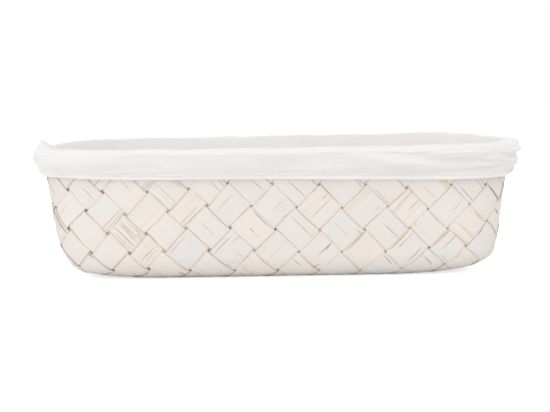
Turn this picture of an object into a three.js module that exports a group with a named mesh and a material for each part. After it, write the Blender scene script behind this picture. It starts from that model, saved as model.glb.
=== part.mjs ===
// A low plaited bamboo tray with a cotton liner turned out over its rim.
// Millimetres, +Z up, +X to the right along the length, -Y to the front. The origin is on the
// floor under the middle of the base.

import * as THREE from 'three';
import { mergeVertices } from 'three/addons/utils/BufferGeometryUtils.js';

// Plaiting
const LONG_SIDE_COUNT = 10; // splints of one direction that leave the base over each long edge
const SHORT_SIDE_COUNT = 6; // and over each short edge
const WEAVE_PITCH = 33.4; // from splint to splint, measured along the edge of the base
const SPLINT_GAP = 1.8; // between two splints that lie side by side
const SPLINT_THICKNESS = 0.8;
const LAYER_CLEARANCE = 0.3; // between the two layers where splints cross
const WALL_ROWS = 5; // half pitches of plaiting up the wall, to the holes under the hoops

// The splints are split by hand and differ in width. Each gap between two that lie side by side
// is off its even place by this much along the edge of the base, from the first gap to the last:
// for splints along x - y (rising) towards +X, and for those along x + y (falling) towards +X.
const RISING_GAP_SHIFTS = [0, -1.5, 2, -2, 1, -1, 0, -0.5, 0.5, -2.5, 0, 1, 1.5, 1.5, 2.5, 5, 0];
const FALLING_GAP_SHIFTS = [0, -3, -10, -8, -4.5, -1.5, 0, 1.5, 1, -0.5, 0, 2, -2, 1.5, -2.5, 1, 0];

// Tray body, measured on the middle surface between the two layers
const WALL_FLARE = 10; // degrees that the walls lean outwards
const BASE_EDGE_RADIUS = 22; // of the bend from base to wall
const BASE_SQUARENESS = 8; // exponent of the rounded outline at the base
const RIM_SQUARENESS = 4; // and at the rim, which is rounder
const CORNER_PULL = 3; // how fast the plaiting on the base bends towards its rounded corners
const END_LIFT = 7; // how far the ends of the base curve up off the floor
const LIFT_START = 0.5; // where that curve begins, from the middle (0) to the end (1)

// Rim hoops and ties
const HOOP_HEIGHT = 9;
const HOOP_THICKNESS = 2.2;
const HOOP_CLEARANCE = 0.8; // to the splints between the hoops, whose bends are flatter
const SPLINT_SETBACK = 0.6; // cut ends of the splints below the top of the hoops
const TIE_COUNT = 12;
const TIE_HOLE_ROOM = 2.6; // that a hole with a tie may lie above its even place
const TIE_THICKNESS = 0.8;
const TIE_CLEARANCE = 0.3; // to the hoops

// Liner
const CLOTH_THICKNESS = 1.2; // of the soft cotton, with the air in it
const CLOTH_CLEARANCE = 0.4; // to what it lies on
const SEAM_GAP = 0.3; // between two sewn edges
const CUFF_DROP = 20.4; // from the top of the hoops down the slope to the lower edge of the hem
const CUFF_STANDOFF = 2.4; // of the hem from the middle surface of the wall
const CUFF_BELLY = 1; // how far the cuff bellies out between the hoops and the hem
const HEM_HEIGHT = 3.4;
const HEM_EXTRA = 0.5; // thickness that the turned edge adds
const FOLD_DEPTH = 1.2; // of the long shallow folds in the cuff
const FOLD_SPACING = 118; // from fold to fold, round the tray
const LINER_SLACK = 4.5; // of the cloth from the middle surface of the walls inside
const SLACK_DEPTH = 2; // of the soft waves in the cloth inside
const SLACK_SPACING = 85; // from wave to wave, round the tray
const FLOOR_INSET = 20; // of the floor seam from the edge of the base
const CORNER_REACH_OUT = 9; // where the cloth leaves the floor, in from the base edge
const CORNER_REACH_UP = 7.5; // and how high it hangs there
const BEND_HEIGHT = 16; // height at which the cloth crosses the base edge
const FLOOR_FLAT_SHARE = 0.5; // part of the floor panel that lies flat

const degrees = Math.PI / 180;
const halfPitch = WEAVE_PITCH / 2;
const baseHalfLength = LONG_SIDE_COUNT * halfPitch;
const baseHalfWidth = SHORT_SIDE_COUNT * halfPitch;
const ringLength = 2 * (LONG_SIDE_COUNT + SHORT_SIDE_COUNT) * WEAVE_PITCH;
const layerOffset = (SPLINT_THICKNESS + LAYER_CLEARANCE) / 2;
const weaveHalfThickness = layerOffset + SPLINT_THICKNESS / 2;
const gapCount = 2 * (LONG_SIDE_COUNT + SHORT_SIDE_COUNT);
const gapMargin = SPLINT_GAP / Math.SQRT2; // half of a gap, measured along the edge of the base
const hoopLow = WALL_ROWS * halfPitch + TIE_HOLE_ROOM + TIE_THICKNESS / 2 + TIE_CLEARANCE;
const wallRise = hoopLow + HOOP_HEIGHT;
const tieLow = WALL_ROWS * halfPitch - TIE_THICKNESS / 2 - TIE_CLEARANCE;
const splintCut = wallRise - SPLINT_SETBACK;
const hoopNear = weaveHalfThickness + HOOP_CLEARANCE;
const hoopFar = hoopNear + HOOP_THICKNESS;
const clothFar = hoopFar + TIE_CLEARANCE + TIE_THICKNESS + CLOTH_CLEARANCE + CLOTH_THICKNESS / 2;
const clothTop = wallRise + TIE_CLEARANCE + TIE_THICKNESS + CLOTH_CLEARANCE + CLOTH_THICKNESS / 2;
const turn = (90 - WALL_FLARE) * degrees;

const bamboo = () => new THREE.MeshStandardMaterial({ color: 0xeee6dc, roughness: 0.75, metalness: 0 });
const hoopWood = () => new THREE.MeshStandardMaterial({ color: 0xd8b98a, roughness: 0.7, metalness: 0 });
const cane = () => new THREE.MeshStandardMaterial({ color: 0xc9a46e, roughness: 0.6, metalness: 0 });
const cotton = () => new THREE.MeshStandardMaterial({ color: 0xf4f3f2, roughness: 0.95, metalness: 0 });

// Shape of the tray

// The four sides in the order in which a walk round the tray meets them, seen from above.
// Each starts at a corner and runs along its own direction, with its outward direction.
const sides = [
  { start: [-1, -1], length: 2 * baseHalfLength, along: [1, 0], outward: [0, -1] },
  { start: [1, -1], length: 2 * baseHalfWidth, along: [0, 1], outward: [1, 0] },
  { start: [1, 1], length: 2 * baseHalfLength, along: [-1, 0], outward: [0, 1] },
  { start: [-1, 1], length: 2 * baseHalfWidth, along: [0, -1], outward: [-1, 0] },
];

// Where the wall's section lies at a distance up from the base edge: how far out from that edge,
// how high, and how far it has turned from lying flat.
function wallSection(rise) {
  const halfTurn = turn / 2;
  const arcHalf = BASE_EDGE_RADIUS * halfTurn;
  const angle = Math.min(halfTurn + rise / BASE_EDGE_RADIUS, turn);
  const straight = Math.max(rise - arcHalf, 0);
  return {
    outward: BASE_EDGE_RADIUS * (Math.sin(angle) - Math.sin(halfTurn)) + straight * Math.cos(turn),
    height: BASE_EDGE_RADIUS * (1 - Math.cos(angle)) + straight * Math.sin(turn),
    angle,
  };
}

// The same on the base side of the edge, by the distance in from the edge.
function baseSection(depth) {
  const sine = Math.sin(turn / 2) - Math.max(depth, 0) / BASE_EDGE_RADIUS;
  const angle = Math.asin(Math.max(sine, 0));
  return { height: BASE_EDGE_RADIUS * (1 - Math.cos(angle)), angle };
}

const edgeHeight = wallSection(0).height;
const rimHeight = wallSection(wallRise).height;

// A point of the outline |x/a|^n + |y/b|^n = 1 on one side, by its share of the way from the
// middle of the side (0) to the corners (-1 and 1), measured along the outline.
function outlinePoint(side, share, halfLength, halfWidth, squareness) {
  const { along, outward } = sides[side];
  const alongHalf = along[0] !== 0 ? halfLength : halfWidth;
  const outwardHalf = along[0] !== 0 ? halfWidth : halfLength;
  const steps = 40;
  const pointAt = (angle) => {
    const sum = Math.sin(angle) ** squareness + Math.cos(angle) ** squareness;
    const reach = sum ** (-1 / squareness);
    return [alongHalf * reach * Math.sin(angle), outwardHalf * reach * Math.cos(angle)];
  };
  const points = [];
  const lengths = [0];
  for (let i = 0; i <= steps; i += 1) {
    points.push(pointAt((Math.PI / 4) * (i / steps)));
    if (i > 0) {
      const [a0, b0] = points[i - 1];
      const [a1, b1] = points[i];
      lengths.push(lengths[i - 1] + Math.hypot(a1 - a0, b1 - b0));
    }
  }
  const wanted = Math.min(Math.abs(share), 1) * lengths[steps];
  let i = 1;
  while (i < steps && lengths[i] < wanted) i += 1;
  const part = (wanted - lengths[i - 1]) / (lengths[i] - lengths[i - 1]);
  const angle = (Math.PI / 4) * ((i - 1 + part) / steps);
  const [a, b] = pointAt(angle);
  const signed = a * Math.sign(share);
  return [signed * along[0] + b * outward[0], signed * along[1] + b * outward[1]];
}

function outwardDirection(x, y, halfLength, halfWidth, squareness) {
  const slopeX = (Math.sign(x) * (Math.abs(x) / halfLength) ** (squareness - 1)) / halfLength;
  const slopeY = (Math.sign(y) * (Math.abs(y) / halfWidth) ** (squareness - 1)) / halfWidth;
  const size = Math.hypot(slopeX, slopeY) || 1;
  return { x: slopeX / size, y: slopeY / size, steepness: size };
}

function endLift(x, height) {
  const share = Math.max(Math.abs(x) / baseHalfLength - LIFT_START, 0) / (1 - LIFT_START);
  return END_LIFT * share ** 2 * Math.max(1 - height / rimHeight, 0);
}

function placeOnSurface(x, y, height, angle, direction) {
  const z = weaveHalfThickness + height + endLift(x, height);
  const normal = new THREE.Vector3(
    direction.x * Math.sin(angle),
    direction.y * Math.sin(angle),
    -Math.cos(angle),
  );
  return { position: new THREE.Vector3(x, y, z), normal };
}

// A distance round the base edge, from the front left corner, as one that starts again there.
function wrapped(around) {
  return ((around % ringLength) + ringLength) % ringLength;
}

// How far a point round the base edge lies from the nearest corner.
function cornerDistance(around) {
  const longSide = 2 * baseHalfLength;
  const corners = [0, longSide, ringLength / 2, ringLength / 2 + longSide, ringLength];
  return Math.min(...corners.map((corner) => Math.abs(wrapped(around) - corner)));
}

// The side that a point round the base edge lies on, and how far along it.
function sideAt(around) {
  let along = wrapped(around);
  let side = 0;
  while (side < 3 && along >= sides[side].length) {
    along -= sides[side].length;
    side += 1;
  }
  return { side, along };
}

// A point of the outline that runs outside or inside the base edge at some height, by its
// distance round the base edge.
function levelPoint(around, outward, height) {
  const { side, along } = sideAt(around);
  const share = (2 * along) / sides[side].length - 1;
  const level = Math.max((height - edgeHeight) / (rimHeight - edgeHeight), 0);
  const halfLength = baseHalfLength + outward;
  const halfWidth = baseHalfWidth + outward;
  const [atBase, atRim] = [BASE_SQUARENESS, RIM_SQUARENESS].map((squareness) => {
    const [x, y] = outlinePoint(side, share, halfLength, halfWidth, squareness);
    return { x, y, direction: outwardDirection(x, y, halfLength, halfWidth, squareness) };
  });
  const between = (base, rim) => THREE.MathUtils.lerp(base, rim, level);
  const direction = {
    x: between(atBase.direction.x, atRim.direction.x),
    y: between(atBase.direction.y, atRim.direction.y),
  };
  const size = Math.hypot(direction.x, direction.y);
  return {
    x: between(atBase.x, atRim.x),
    y: between(atBase.y, atRim.y),
    direction: { x: direction.x / size, y: direction.y / size },
  };
}

// A point of the walls, by its distance round the base edge and its distance up the slope.
function wallPlace(around, rise) {
  const { outward, height, angle } = wallSection(rise);
  const { x, y, direction } = levelPoint(around, outward, height);
  return placeOnSurface(x, y, height, angle, direction);
}

// A point of the base, where the plaiting is straight in the middle and follows the rounded
// outline at the edge.
function basePlace(x, y) {
  const reach = Math.max(Math.abs(x) / baseHalfLength, Math.abs(y) / baseHalfWidth);
  let px = x;
  let py = y;
  if (reach > 0) {
    const side = sides.findIndex(({ outward }) => {
      const across = (x / baseHalfLength) * outward[0] + (y / baseHalfWidth) * outward[1];
      return across >= reach - 1e-9;
    });
    const { along } = sides[side];
    const share = ((x / baseHalfLength) * along[0] + (y / baseHalfWidth) * along[1]) / reach;
    const [edgeX, edgeY] = outlinePoint(side, share, baseHalfLength, baseHalfWidth, BASE_SQUARENESS);
    const pull = reach ** CORNER_PULL;
    px = THREE.MathUtils.lerp(x, reach * edgeX, pull);
    py = THREE.MathUtils.lerp(y, reach * edgeY, pull);
  }
  const direction = outwardDirection(px, py, baseHalfLength, baseHalfWidth, BASE_SQUARENESS);
  const power = (Math.abs(px) / baseHalfLength) ** BASE_SQUARENESS
    + (Math.abs(py) / baseHalfWidth) ** BASE_SQUARENESS;
  const gauge = power ** (1 / BASE_SQUARENESS);
  const gradient = direction.steepness * gauge ** (1 - BASE_SQUARENESS);
  const depth = gauge > 0.5 ? (1 - gauge) / gradient : baseHalfWidth;
  const { height, angle } = baseSection(depth);
  return placeOnSurface(px, py, height, angle, direction);
}

// A point of the walls, or of the base where the distance up the slope is below zero.
function slopePlace(around, rise) {
  if (rise >= 0) return wallPlace(around, rise);
  const { side, along } = sideAt(around);
  const { start, along: direction, outward } = sides[side];
  return basePlace(
    start[0] * baseHalfLength + along * direction[0] + rise * outward[0],
    start[1] * baseHalfWidth + along * direction[1] + rise * outward[1],
  );
}

// A point of the base, or of a wall folded flat beside it.
function spreadPlace(x, y) {
  if (y < -baseHalfWidth) return wallPlace(x + baseHalfLength, -baseHalfWidth - y);
  if (x > baseHalfLength) return wallPlace(2 * baseHalfLength + y + baseHalfWidth, x - baseHalfLength);
  if (y > baseHalfWidth) {
    return wallPlace(3 * baseHalfLength + 2 * baseHalfWidth - x, y - baseHalfWidth);
  }
  if (x < -baseHalfLength) {
    return wallPlace(4 * baseHalfLength + 3 * baseHalfWidth - y, -baseHalfLength - x);
  }
  return basePlace(x, y);
}

// Meshes

// One closed body from a sheet of polygons: each corner is a place on the tray's surface with an
// offset outwards, and the sheet gets its thickness half to each side.
function sheetBody(polygons, thickness) {
  const corners = [];
  const index = new Map();
  const cornerOf = (corner) => {
    const { position, normal } = corner.place;
    const key = position.toArray().map((value) => Math.round(value * 1000)).join(' ');
    if (!index.has(key)) {
      index.set(key, corners.length);
      corners.push({ position, normal, offset: corner.offset });
    }
    return index.get(key);
  };
  const triangles = [];
  for (const polygon of polygons) {
    const ids = polygon.map(cornerOf);
    for (let i = 1; i + 1 < ids.length; i += 1) {
      const triangle = [ids[0], ids[i], ids[i + 1]];
      const [a, b, c] = triangle.map((id) => corners[id].position);
      const facing = new THREE.Vector3().crossVectors(b.clone().sub(a), c.clone().sub(a));
      if (facing.dot(corners[ids[0]].normal) < 0) triangle.reverse();
      triangles.push(triangle);
    }
  }
  const vertices = [];
  for (const layer of [0.5, -0.5]) {
    for (const { position, normal, offset } of corners) {
      vertices.push(...position.clone().addScaledVector(normal, offset + layer * thickness).toArray());
    }
  }
  const count = corners.length;
  const faces = [];
  const edges = new Set(triangles.flatMap(([a, b, c]) => [`${a} ${b}`, `${b} ${c}`, `${c} ${a}`]));
  for (const [a, b, c] of triangles) {
    faces.push(a, b, c, count + a, count + c, count + b);
    for (const [from, to] of [[a, b], [b, c], [c, a]]) {
      if (!edges.has(`${to} ${from}`)) {
        faces.push(from, count + to, to, from, count + from, count + to);
      }
    }
  }
  return closedGeometry(vertices, faces);
}

function closedGeometry(vertices, faces) {
  const geometry = new THREE.BufferGeometry();
  geometry.setAttribute('position', new THREE.Float32BufferAttribute(vertices, 3));
  geometry.setIndex(faces);
  return mergeVertices(geometry, 1e-4);
}

// One closed body through a row of equal sections, each a closed ring of points. A closed row
// joins its last section to its first, and an open row is capped at both ends.
function loftBody(sections, closed) {
  const size = sections[0].length;
  const vertices = sections.flatMap((section) => section.flatMap((point) => point.toArray()));
  const faces = [];
  const rows = closed ? sections.length : sections.length - 1;
  for (let row = 0; row < rows; row += 1) {
    const next = (row + 1) % sections.length;
    for (let i = 0; i < size; i += 1) {
      const j = (i + 1) % size;
      const a = row * size + i;
      const b = row * size + j;
      const c = next * size + j;
      const d = next * size + i;
      faces.push(a, b, c, a, c, d);
    }
  }
  if (!closed) {
    const half = size / 2;
    const last = (sections.length - 1) * size;
    for (let i = 0; i + 1 < half; i += 1) {
      const near = [i, i + 1, size - 2 - i, size - 1 - i];
      faces.push(near[0], near[2], near[1], near[0], near[3], near[2]);
      const far = near.map((id) => id + last);
      faces.push(far[0], far[1], far[2], far[0], far[2], far[3]);
    }
  }
  return closedGeometry(vertices, faces);
}

const tray = new THREE.Group();

function addPiece(name, geometry, material) {
  geometry.computeVertexNormals();
  const mesh = new THREE.Mesh(geometry, material);
  mesh.name = name;
  tray.add(mesh);
}

// Splints

// Keeps the part of a placed wall polygon below the cut line of the splints. The cut corners stay
// on its straight edges, so that the hoops, which bend at the same places, clear them.
function cutAtRim(polygon) {
  const kept = [];
  polygon.forEach((corner, i) => {
    const next = polygon[(i + 1) % polygon.length];
    if (corner.rise <= splintCut) kept.push(corner);
    if ((corner.rise - splintCut) * (next.rise - splintCut) < 0) {
      const part = (splintCut - corner.rise) / (next.rise - corner.rise);
      kept.push({
        place: {
          position: corner.place.position.clone().lerp(next.place.position, part),
          normal: corner.place.normal.clone().lerp(next.place.normal, part).normalize(),
        },
        rise: splintCut,
        offset: THREE.MathUtils.lerp(corner.offset, next.offset, part),
      });
    }
  });
  return kept;
}

// How far a gap is off its even place. Those through a corner of the base stay in place.
function gapShift(shifts, gap) {
  const corners = [0, SHORT_SIDE_COUNT, LONG_SIDE_COUNT, SHORT_SIDE_COUNT + LONG_SIDE_COUNT];
  return corners.includes(gap) ? 0 : shifts[gap % shifts.length];
}

// Where a gap on the base lies, as x - y for rising splints and x + y for falling ones.
function baseGap(slope, gap) {
  const shifts = slope > 0 ? RISING_GAP_SHIFTS : FALLING_GAP_SHIFTS;
  return (gap - (LONG_SIDE_COUNT + SHORT_SIDE_COUNT) / 2) * WEAVE_PITCH + gapShift(shifts, gap);
}

// Where a gap on the walls lies, by the distance round the base edge at which it starts. It leans
// to the right going up, seen from outside, where lean is 1, and to the left where it is -1. On
// the base it goes on as a rising or a falling one, which has a number of its own there.
function wallGap(lean, gap) {
  const at = ((gap % gapCount) + gapCount) % gapCount;
  const { side } = sideAt(at * WEAVE_PITCH);
  const mirrored = gapCount - SHORT_SIDE_COUNT;
  const leftLeaning = [
    { shifts: RISING_GAP_SHIFTS, number: at + SHORT_SIDE_COUNT, sign: 1 },
    { shifts: FALLING_GAP_SHIFTS, number: at, sign: 1 },
    { shifts: RISING_GAP_SHIFTS, number: mirrored - at, sign: -1 },
    { shifts: FALLING_GAP_SHIFTS, number: gapCount - at, sign: -1 },
  ];
  const rightLeaning = [
    { shifts: FALLING_GAP_SHIFTS, number: at, sign: 1 },
    { shifts: RISING_GAP_SHIFTS, number: mirrored - at, sign: -1 },
    { shifts: FALLING_GAP_SHIFTS, number: gapCount - at, sign: -1 },
    { shifts: RISING_GAP_SHIFTS, number: at - mirrored, sign: 1 },
  ];
  const { shifts, number, sign } = (lean > 0 ? rightLeaning : leftLeaning)[side];
  return gap * WEAVE_PITCH + sign * gapShift(shifts, number);
}

// The polygons of one splint on the wall, from the base edge up. It lies between two gaps of its
// own lean, the first of which is given. In even rows of crossings the splint that leans left
// lies outside, in odd rows the other one.
function wallPolygons(gap, lean) {
  const rows = Math.ceil(splintCut / halfPitch + 1);
  const crossing = (row) => {
    const rightGap = lean > 0 ? gap : gap - row;
    const leftGap = lean > 0 ? gap + row : gap;
    const offset = row % 2 === (lean > 0 ? 1 : 0) ? layerOffset : -layerOffset;
    const near = [wallGap(1, rightGap) + gapMargin, wallGap(-1, leftGap) + gapMargin];
    const far = [wallGap(1, rightGap + 1) - gapMargin, wallGap(-1, leftGap + 1) - gapMargin];
    const corner = (right, left) => ({ around: (left + right) / 2, rise: (left - right) / 2, offset });
    const left = corner(near[0], near[1]);
    const right = corner(far[0], far[1]);
    return {
      middle: (gap + 0.5) * WEAVE_PITCH + lean * row * halfPitch,
      bottom: corner(far[0], near[1]),
      top: corner(near[0], far[1]),
      back: lean > 0 ? left : right,
      ahead: lean > 0 ? right : left,
    };
  };
  const polygons = [];
  for (let row = 1; row <= rows; row += 1) {
    const below = crossing(row - 1);
    const here = crossing(row);
    polygons.push([below.ahead, here.bottom, here.back, below.top]);
    // Each crossing folds along one diagonal: level over the bend of the base edge, upright above.
    if (row === 1 && cornerDistance(here.middle) > halfPitch) {
      polygons.push([here.back, here.bottom, here.ahead], [here.back, here.ahead, here.top]);
    } else {
      polygons.push([here.bottom, here.ahead, here.top], [here.bottom, here.top, here.back]);
    }
  }
  return polygons
    .map((polygon) => polygon.map(({ around: at, rise, offset }) => ({
      place: slopePlace(at, rise),
      rise,
      offset,
    })))
    .map(cutAtRim);
}

// One splint from rim to rim, rising over the base where slope is 1 and falling where it is -1.
// It lies between two gaps of its own direction, the first of which is given.
function splintPolygons(gap, slope) {
  const evenPlace = (other) => {
    const own = (gap + 0.5) * WEAVE_PITCH - baseHalfLength - baseHalfWidth;
    const cross = (other + 0.5) * WEAVE_PITCH - baseHalfLength - baseHalfWidth;
    return [(own + cross) / 2, (slope * (cross - own)) / 2];
  };
  const cells = [];
  for (let other = 0; other < LONG_SIDE_COUNT + SHORT_SIDE_COUNT; other += 1) {
    const [x, y] = evenPlace(other);
    const nearBase = Math.max(Math.abs(x) - baseHalfLength, Math.abs(y) - baseHalfWidth);
    if (nearBase < halfPitch / 2) cells.push({ x, y, other });
  }
  const crossing = ({ y, other }) => {
    const row = Math.round((y + baseHalfWidth) / halfPitch);
    const offset = row % 2 === (slope > 0 ? 0 : 1) ? layerOffset : -layerOffset;
    const own = [baseGap(slope, gap) + gapMargin, baseGap(slope, gap + 1) - gapMargin];
    const cross = [baseGap(-slope, other) + gapMargin, baseGap(-slope, other + 1) - gapMargin];
    const corner = (ownGap, crossGap) => ({
      place: spreadPlace((ownGap + crossGap) / 2, (slope * (crossGap - ownGap)) / 2),
      offset,
    });
    return {
      left: corner(own[0], cross[0]),
      right: corner(own[1], cross[1]),
      enter: corner(own[1], cross[0]),
      leave: corner(own[0], cross[1]),
    };
  };
  const polygons = [];
  cells.forEach((cell, i) => {
    const here = crossing(cell);
    const nearEnd = baseHalfLength - Math.abs(cell.x) < baseHalfWidth - Math.abs(cell.y);
    polygons.push(nearEnd
      ? [here.enter, here.right, here.leave, here.left]
      : [here.left, here.enter, here.right, here.leave]);
    if (i > 0) {
      const before = crossing(cells[i - 1]);
      polygons.push([before.right, here.enter, here.left, before.leave]);
    }
  });
  const first = wallStart(cells[0], -1, slope);
  const last = wallStart(cells[cells.length - 1], 1, slope);
  return [...polygons, ...wallPolygons(...first), ...wallPolygons(...last)]
    .filter((polygon) => polygon.length > 2);
}

// Where a splint that leaves the base at an edge crossing goes on up the wall: the gap before it
// round the base edge, and its lean. Direction is 1 where it travels to +X, or -1.
function wallStart({ x, y }, direction, slope) {
  const gapBefore = (around) => Math.round(around / WEAVE_PITCH - 0.5);
  if (y < halfPitch / 2 - baseHalfWidth) return [gapBefore(x + baseHalfLength), direction];
  if (x > baseHalfLength - halfPitch / 2) {
    return [gapBefore(2 * baseHalfLength + y + baseHalfWidth), direction * slope];
  }
  if (y > baseHalfWidth - halfPitch / 2) {
    return [gapBefore(3 * baseHalfLength + 2 * baseHalfWidth - x), -direction];
  }
  return [gapBefore(4 * baseHalfLength + 3 * baseHalfWidth - y), -direction * slope];
}

function addSplints() {
  for (let gap = 0; gap < LONG_SIDE_COUNT + SHORT_SIDE_COUNT; gap += 1) {
    const number = String(gap + 1).padStart(2, '0');
    addPiece(`splint_rising_${number}`, sheetBody(splintPolygons(gap, 1), SPLINT_THICKNESS), bamboo());
    addPiece(`splint_falling_${number}`, sheetBody(splintPolygons(gap, -1), SPLINT_THICKNESS), bamboo());
  }
}

// Rim

function wallPoint(around, rise, offset) {
  const { position, normal } = wallPlace(around, rise);
  return position.addScaledVector(normal, offset);
}

// The distances round the base edge at which the hoops and the cloth bend, one for each half
// pitch, so that they bend where the splints do.
function stations(from, to) {
  const steps = Math.round((to - from) / halfPitch);
  return Array.from({ length: steps + 1 }, (_, i) => from + i * halfPitch);
}

function hoopBody(near, far) {
  const sections = stations(0, ringLength - halfPitch).map((around) => [
    wallPoint(around, hoopLow, near),
    wallPoint(around, wallRise, near),
    wallPoint(around, wallRise, far),
    wallPoint(around, hoopLow, far),
  ]);
  return loftBody(sections, true);
}

// The place of a hole of the plaiting below the hoops, where a gap that leans right meets one
// that leans left.
function holePlace(hole) {
  const rightGap = wallGap(1, hole);
  const leftGap = wallGap(-1, hole + WALL_ROWS);
  return { around: (leftGap + rightGap) / 2, rise: (leftGap - rightGap) / 2 };
}

// The holes for the ties, as evenly spaced as those holes allow that come out just under the hoops.
function tieHoles() {
  const holes = Array.from({ length: gapCount }, (_, hole) => hole);
  const reachable = holes.filter((hole) => {
    const { rise } = holePlace(hole);
    return rise - TIE_THICKNESS / 2 >= tieLow && rise <= WALL_ROWS * halfPitch + TIE_HOLE_ROOM;
  });
  const chosen = Array.from({ length: TIE_COUNT }, (_, i) => {
    const even = (i * gapCount) / TIE_COUNT;
    return reachable.reduce((best, hole) => (Math.abs(hole - even) < Math.abs(best - even) ? hole : best));
  });
  return [...new Set(chosen)];
}

// A loop round both hoops, through a hole of the plaiting below them.
function tieBody(hole) {
  const { around, rise } = holePlace(hole);
  const loop = (spread, low) => [
    [low, hoopFar + spread],
    [wallRise + spread, hoopFar + spread],
    [wallRise + spread, -hoopFar - spread],
    [low, -hoopFar - spread],
  ];
  const inner = loop(TIE_CLEARANCE, rise + TIE_THICKNESS / 2);
  const outer = loop(TIE_CLEARANCE + TIE_THICKNESS, rise - TIE_THICKNESS / 2);
  const left = around - TIE_THICKNESS / 2;
  const right = around + TIE_THICKNESS / 2;
  const sections = inner.map((_, i) => [
    wallPoint(left, ...outer[i]),
    wallPoint(right, ...outer[i]),
    wallPoint(right, ...inner[i]),
    wallPoint(left, ...inner[i]),
  ]);
  return loftBody(sections, true);
}

function addRim() {
  addPiece('rim_hoop_outer', hoopBody(hoopNear, hoopFar), hoopWood());
  addPiece('rim_hoop_inner', hoopBody(-hoopFar, -hoopNear), hoopWood());
  tieHoles().forEach((hole, i) => {
    addPiece(`rim_tie_${String(i + 1).padStart(2, '0')}`, tieBody(hole), cane());
  });
}

// Liner

// A place in the section through a wall, as distance out from the base edge and height.
function sectionPlace(rise, offset) {
  const { outward, height, angle } = wallSection(rise);
  return [outward + offset * Math.sin(angle), height - offset * Math.cos(angle)];
}

function sectionPoint(around, [outward, height]) {
  const { x, y } = levelPoint(around, outward, height);
  return new THREE.Vector3(x, y, weaveHalfThickness + height + endLift(x, height));
}

const wave = (around, spacing, shift) => 0.5 + 0.5 * Math.sin((2 * Math.PI * around) / spacing + shift);

// The middle line of the cloth at one place round the tray, from the floor seam up the inside,
// over the rim and down to the hem, with half the thickness of the cloth at each of its points.
function clothLine(around) {
  const slack = LINER_SLACK + SLACK_DEPTH * wave(around, SLACK_SPACING, 0);
  const fold = (share) => FOLD_DEPTH * wave(around, FOLD_SPACING, 3 * share);
  const floorHeight = weaveHalfThickness + CLOTH_CLEARANCE + CLOTH_THICKNESS / 2;
  const hemRise = wallRise - CUFF_DROP;
  const hemTop = hemRise + HEM_HEIGHT;
  const thin = CLOTH_THICKNESS / 2;
  const thick = thin + HEM_EXTRA / 2;
  return [
    [[SEAM_GAP / 2 - FLOOR_INSET, floorHeight], thin],
    [[-CORNER_REACH_OUT, CORNER_REACH_UP], thin],
    [[0, BEND_HEIGHT], thin],
    [sectionPlace(2 * halfPitch, -slack), thin],
    [sectionPlace(hoopLow - 2 * halfPitch, -slack), thin],
    [sectionPlace(hoopLow - HOOP_HEIGHT, -clothFar), thin],
    [sectionPlace(clothTop - thin, -clothFar), thin],
    [sectionPlace(clothTop, thin - clothFar), thin],
    [sectionPlace(clothTop, clothFar - thin), thin],
    [sectionPlace(clothTop - thin, clothFar + fold(0)), thin],
    [sectionPlace(tieLow, clothFar + fold(0.4)), thin],
    [sectionPlace((tieLow + hemTop) / 2, (clothFar + CUFF_STANDOFF) / 2 + CUFF_BELLY + fold(0.7)), thin],
    [sectionPlace(hemTop + HEM_EXTRA, CUFF_STANDOFF + fold(1) / 2), thin],
    [sectionPlace(hemTop, CUFF_STANDOFF + fold(1) / 2), thick],
    [sectionPlace(hemRise, CUFF_STANDOFF + fold(1) / 2), thick],
  ];
}

// The closed section of the cloth round its middle line, with square ends.
function clothSection(around) {
  const line = clothLine(around);
  const sideAt = (i) => {
    const [before] = line[Math.max(i - 1, 0)];
    const [after] = line[Math.min(i + 1, line.length - 1)];
    const size = Math.hypot(after[0] - before[0], after[1] - before[1]);
    return [(before[1] - after[1]) / size, (after[0] - before[0]) / size];
  };
  const skin = (direction) => line.map(([[outward, height], half], i) => {
    const [sideOut, sideUp] = sideAt(i);
    return sectionPoint(around, [
      outward + direction * half * sideOut,
      height + direction * half * sideUp,
    ]);
  });
  return [...skin(1), ...skin(-1).reverse()];
}

function sideClothBody(from, to) {
  const places = stations(from, to);
  places[0] += SEAM_GAP / 2;
  places[places.length - 1] -= SEAM_GAP / 2;
  return loftBody(places.map(clothSection), false);
}

// The floor panel. It lies flat in the middle and follows the base up at its ends.
function floorBody() {
  const height = weaveHalfThickness + CLOTH_CLEARANCE + CLOTH_THICKNESS / 2;
  const corner = (position) => ({ place: { position, normal: new THREE.Vector3(0, 0, 1) }, offset: 0 });
  const middle = new THREE.Vector3(0, 0, weaveHalfThickness + height);
  const seam = stations(0, ringLength)
    .map((around) => sectionPoint(around, [-FLOOR_INSET - SEAM_GAP / 2, height]));
  const flat = seam.map(({ x, y }) => new THREE.Vector3(
    x * FLOOR_FLAT_SHARE,
    y * FLOOR_FLAT_SHARE,
    middle.z,
  ));
  const polygons = [];
  for (let i = 0; i + 1 < seam.length; i += 1) {
    polygons.push([middle, flat[i], flat[i + 1]].map(corner));
    polygons.push([flat[i], seam[i], seam[i + 1], flat[i + 1]].map(corner));
  }
  return sheetBody(polygons, CLOTH_THICKNESS);
}

function addLiner() {
  const longSide = 2 * baseHalfLength;
  const back = ringLength / 2;
  addPiece('liner_floor', floorBody(), cotton());
  addPiece('liner_front', sideClothBody(0, longSide), cotton());
  addPiece('liner_right', sideClothBody(longSide, back), cotton());
  addPiece('liner_back', sideClothBody(back, back + longSide), cotton());
  addPiece('liner_left', sideClothBody(back + longSide, ringLength), cotton());
}

addSplints();
addRim();
addLiner();

export default tray;
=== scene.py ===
"""A low plaited bamboo tray with a cotton liner turned out over its rim.

Lengths in the shape functions are millimetres, as in the frame's own source. Meshes are metres.
A place on the walls has a distance round the base edge ("around": from the front's left end along
the front, the right end, the back and the left end) and a distance up the wall ("rise").
"""

import math

import bmesh
import bpy
import numpy as np
from bpy.props import FloatProperty, FloatVectorProperty, IntProperty, PointerProperty
from mathutils import Matrix, Vector


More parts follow.
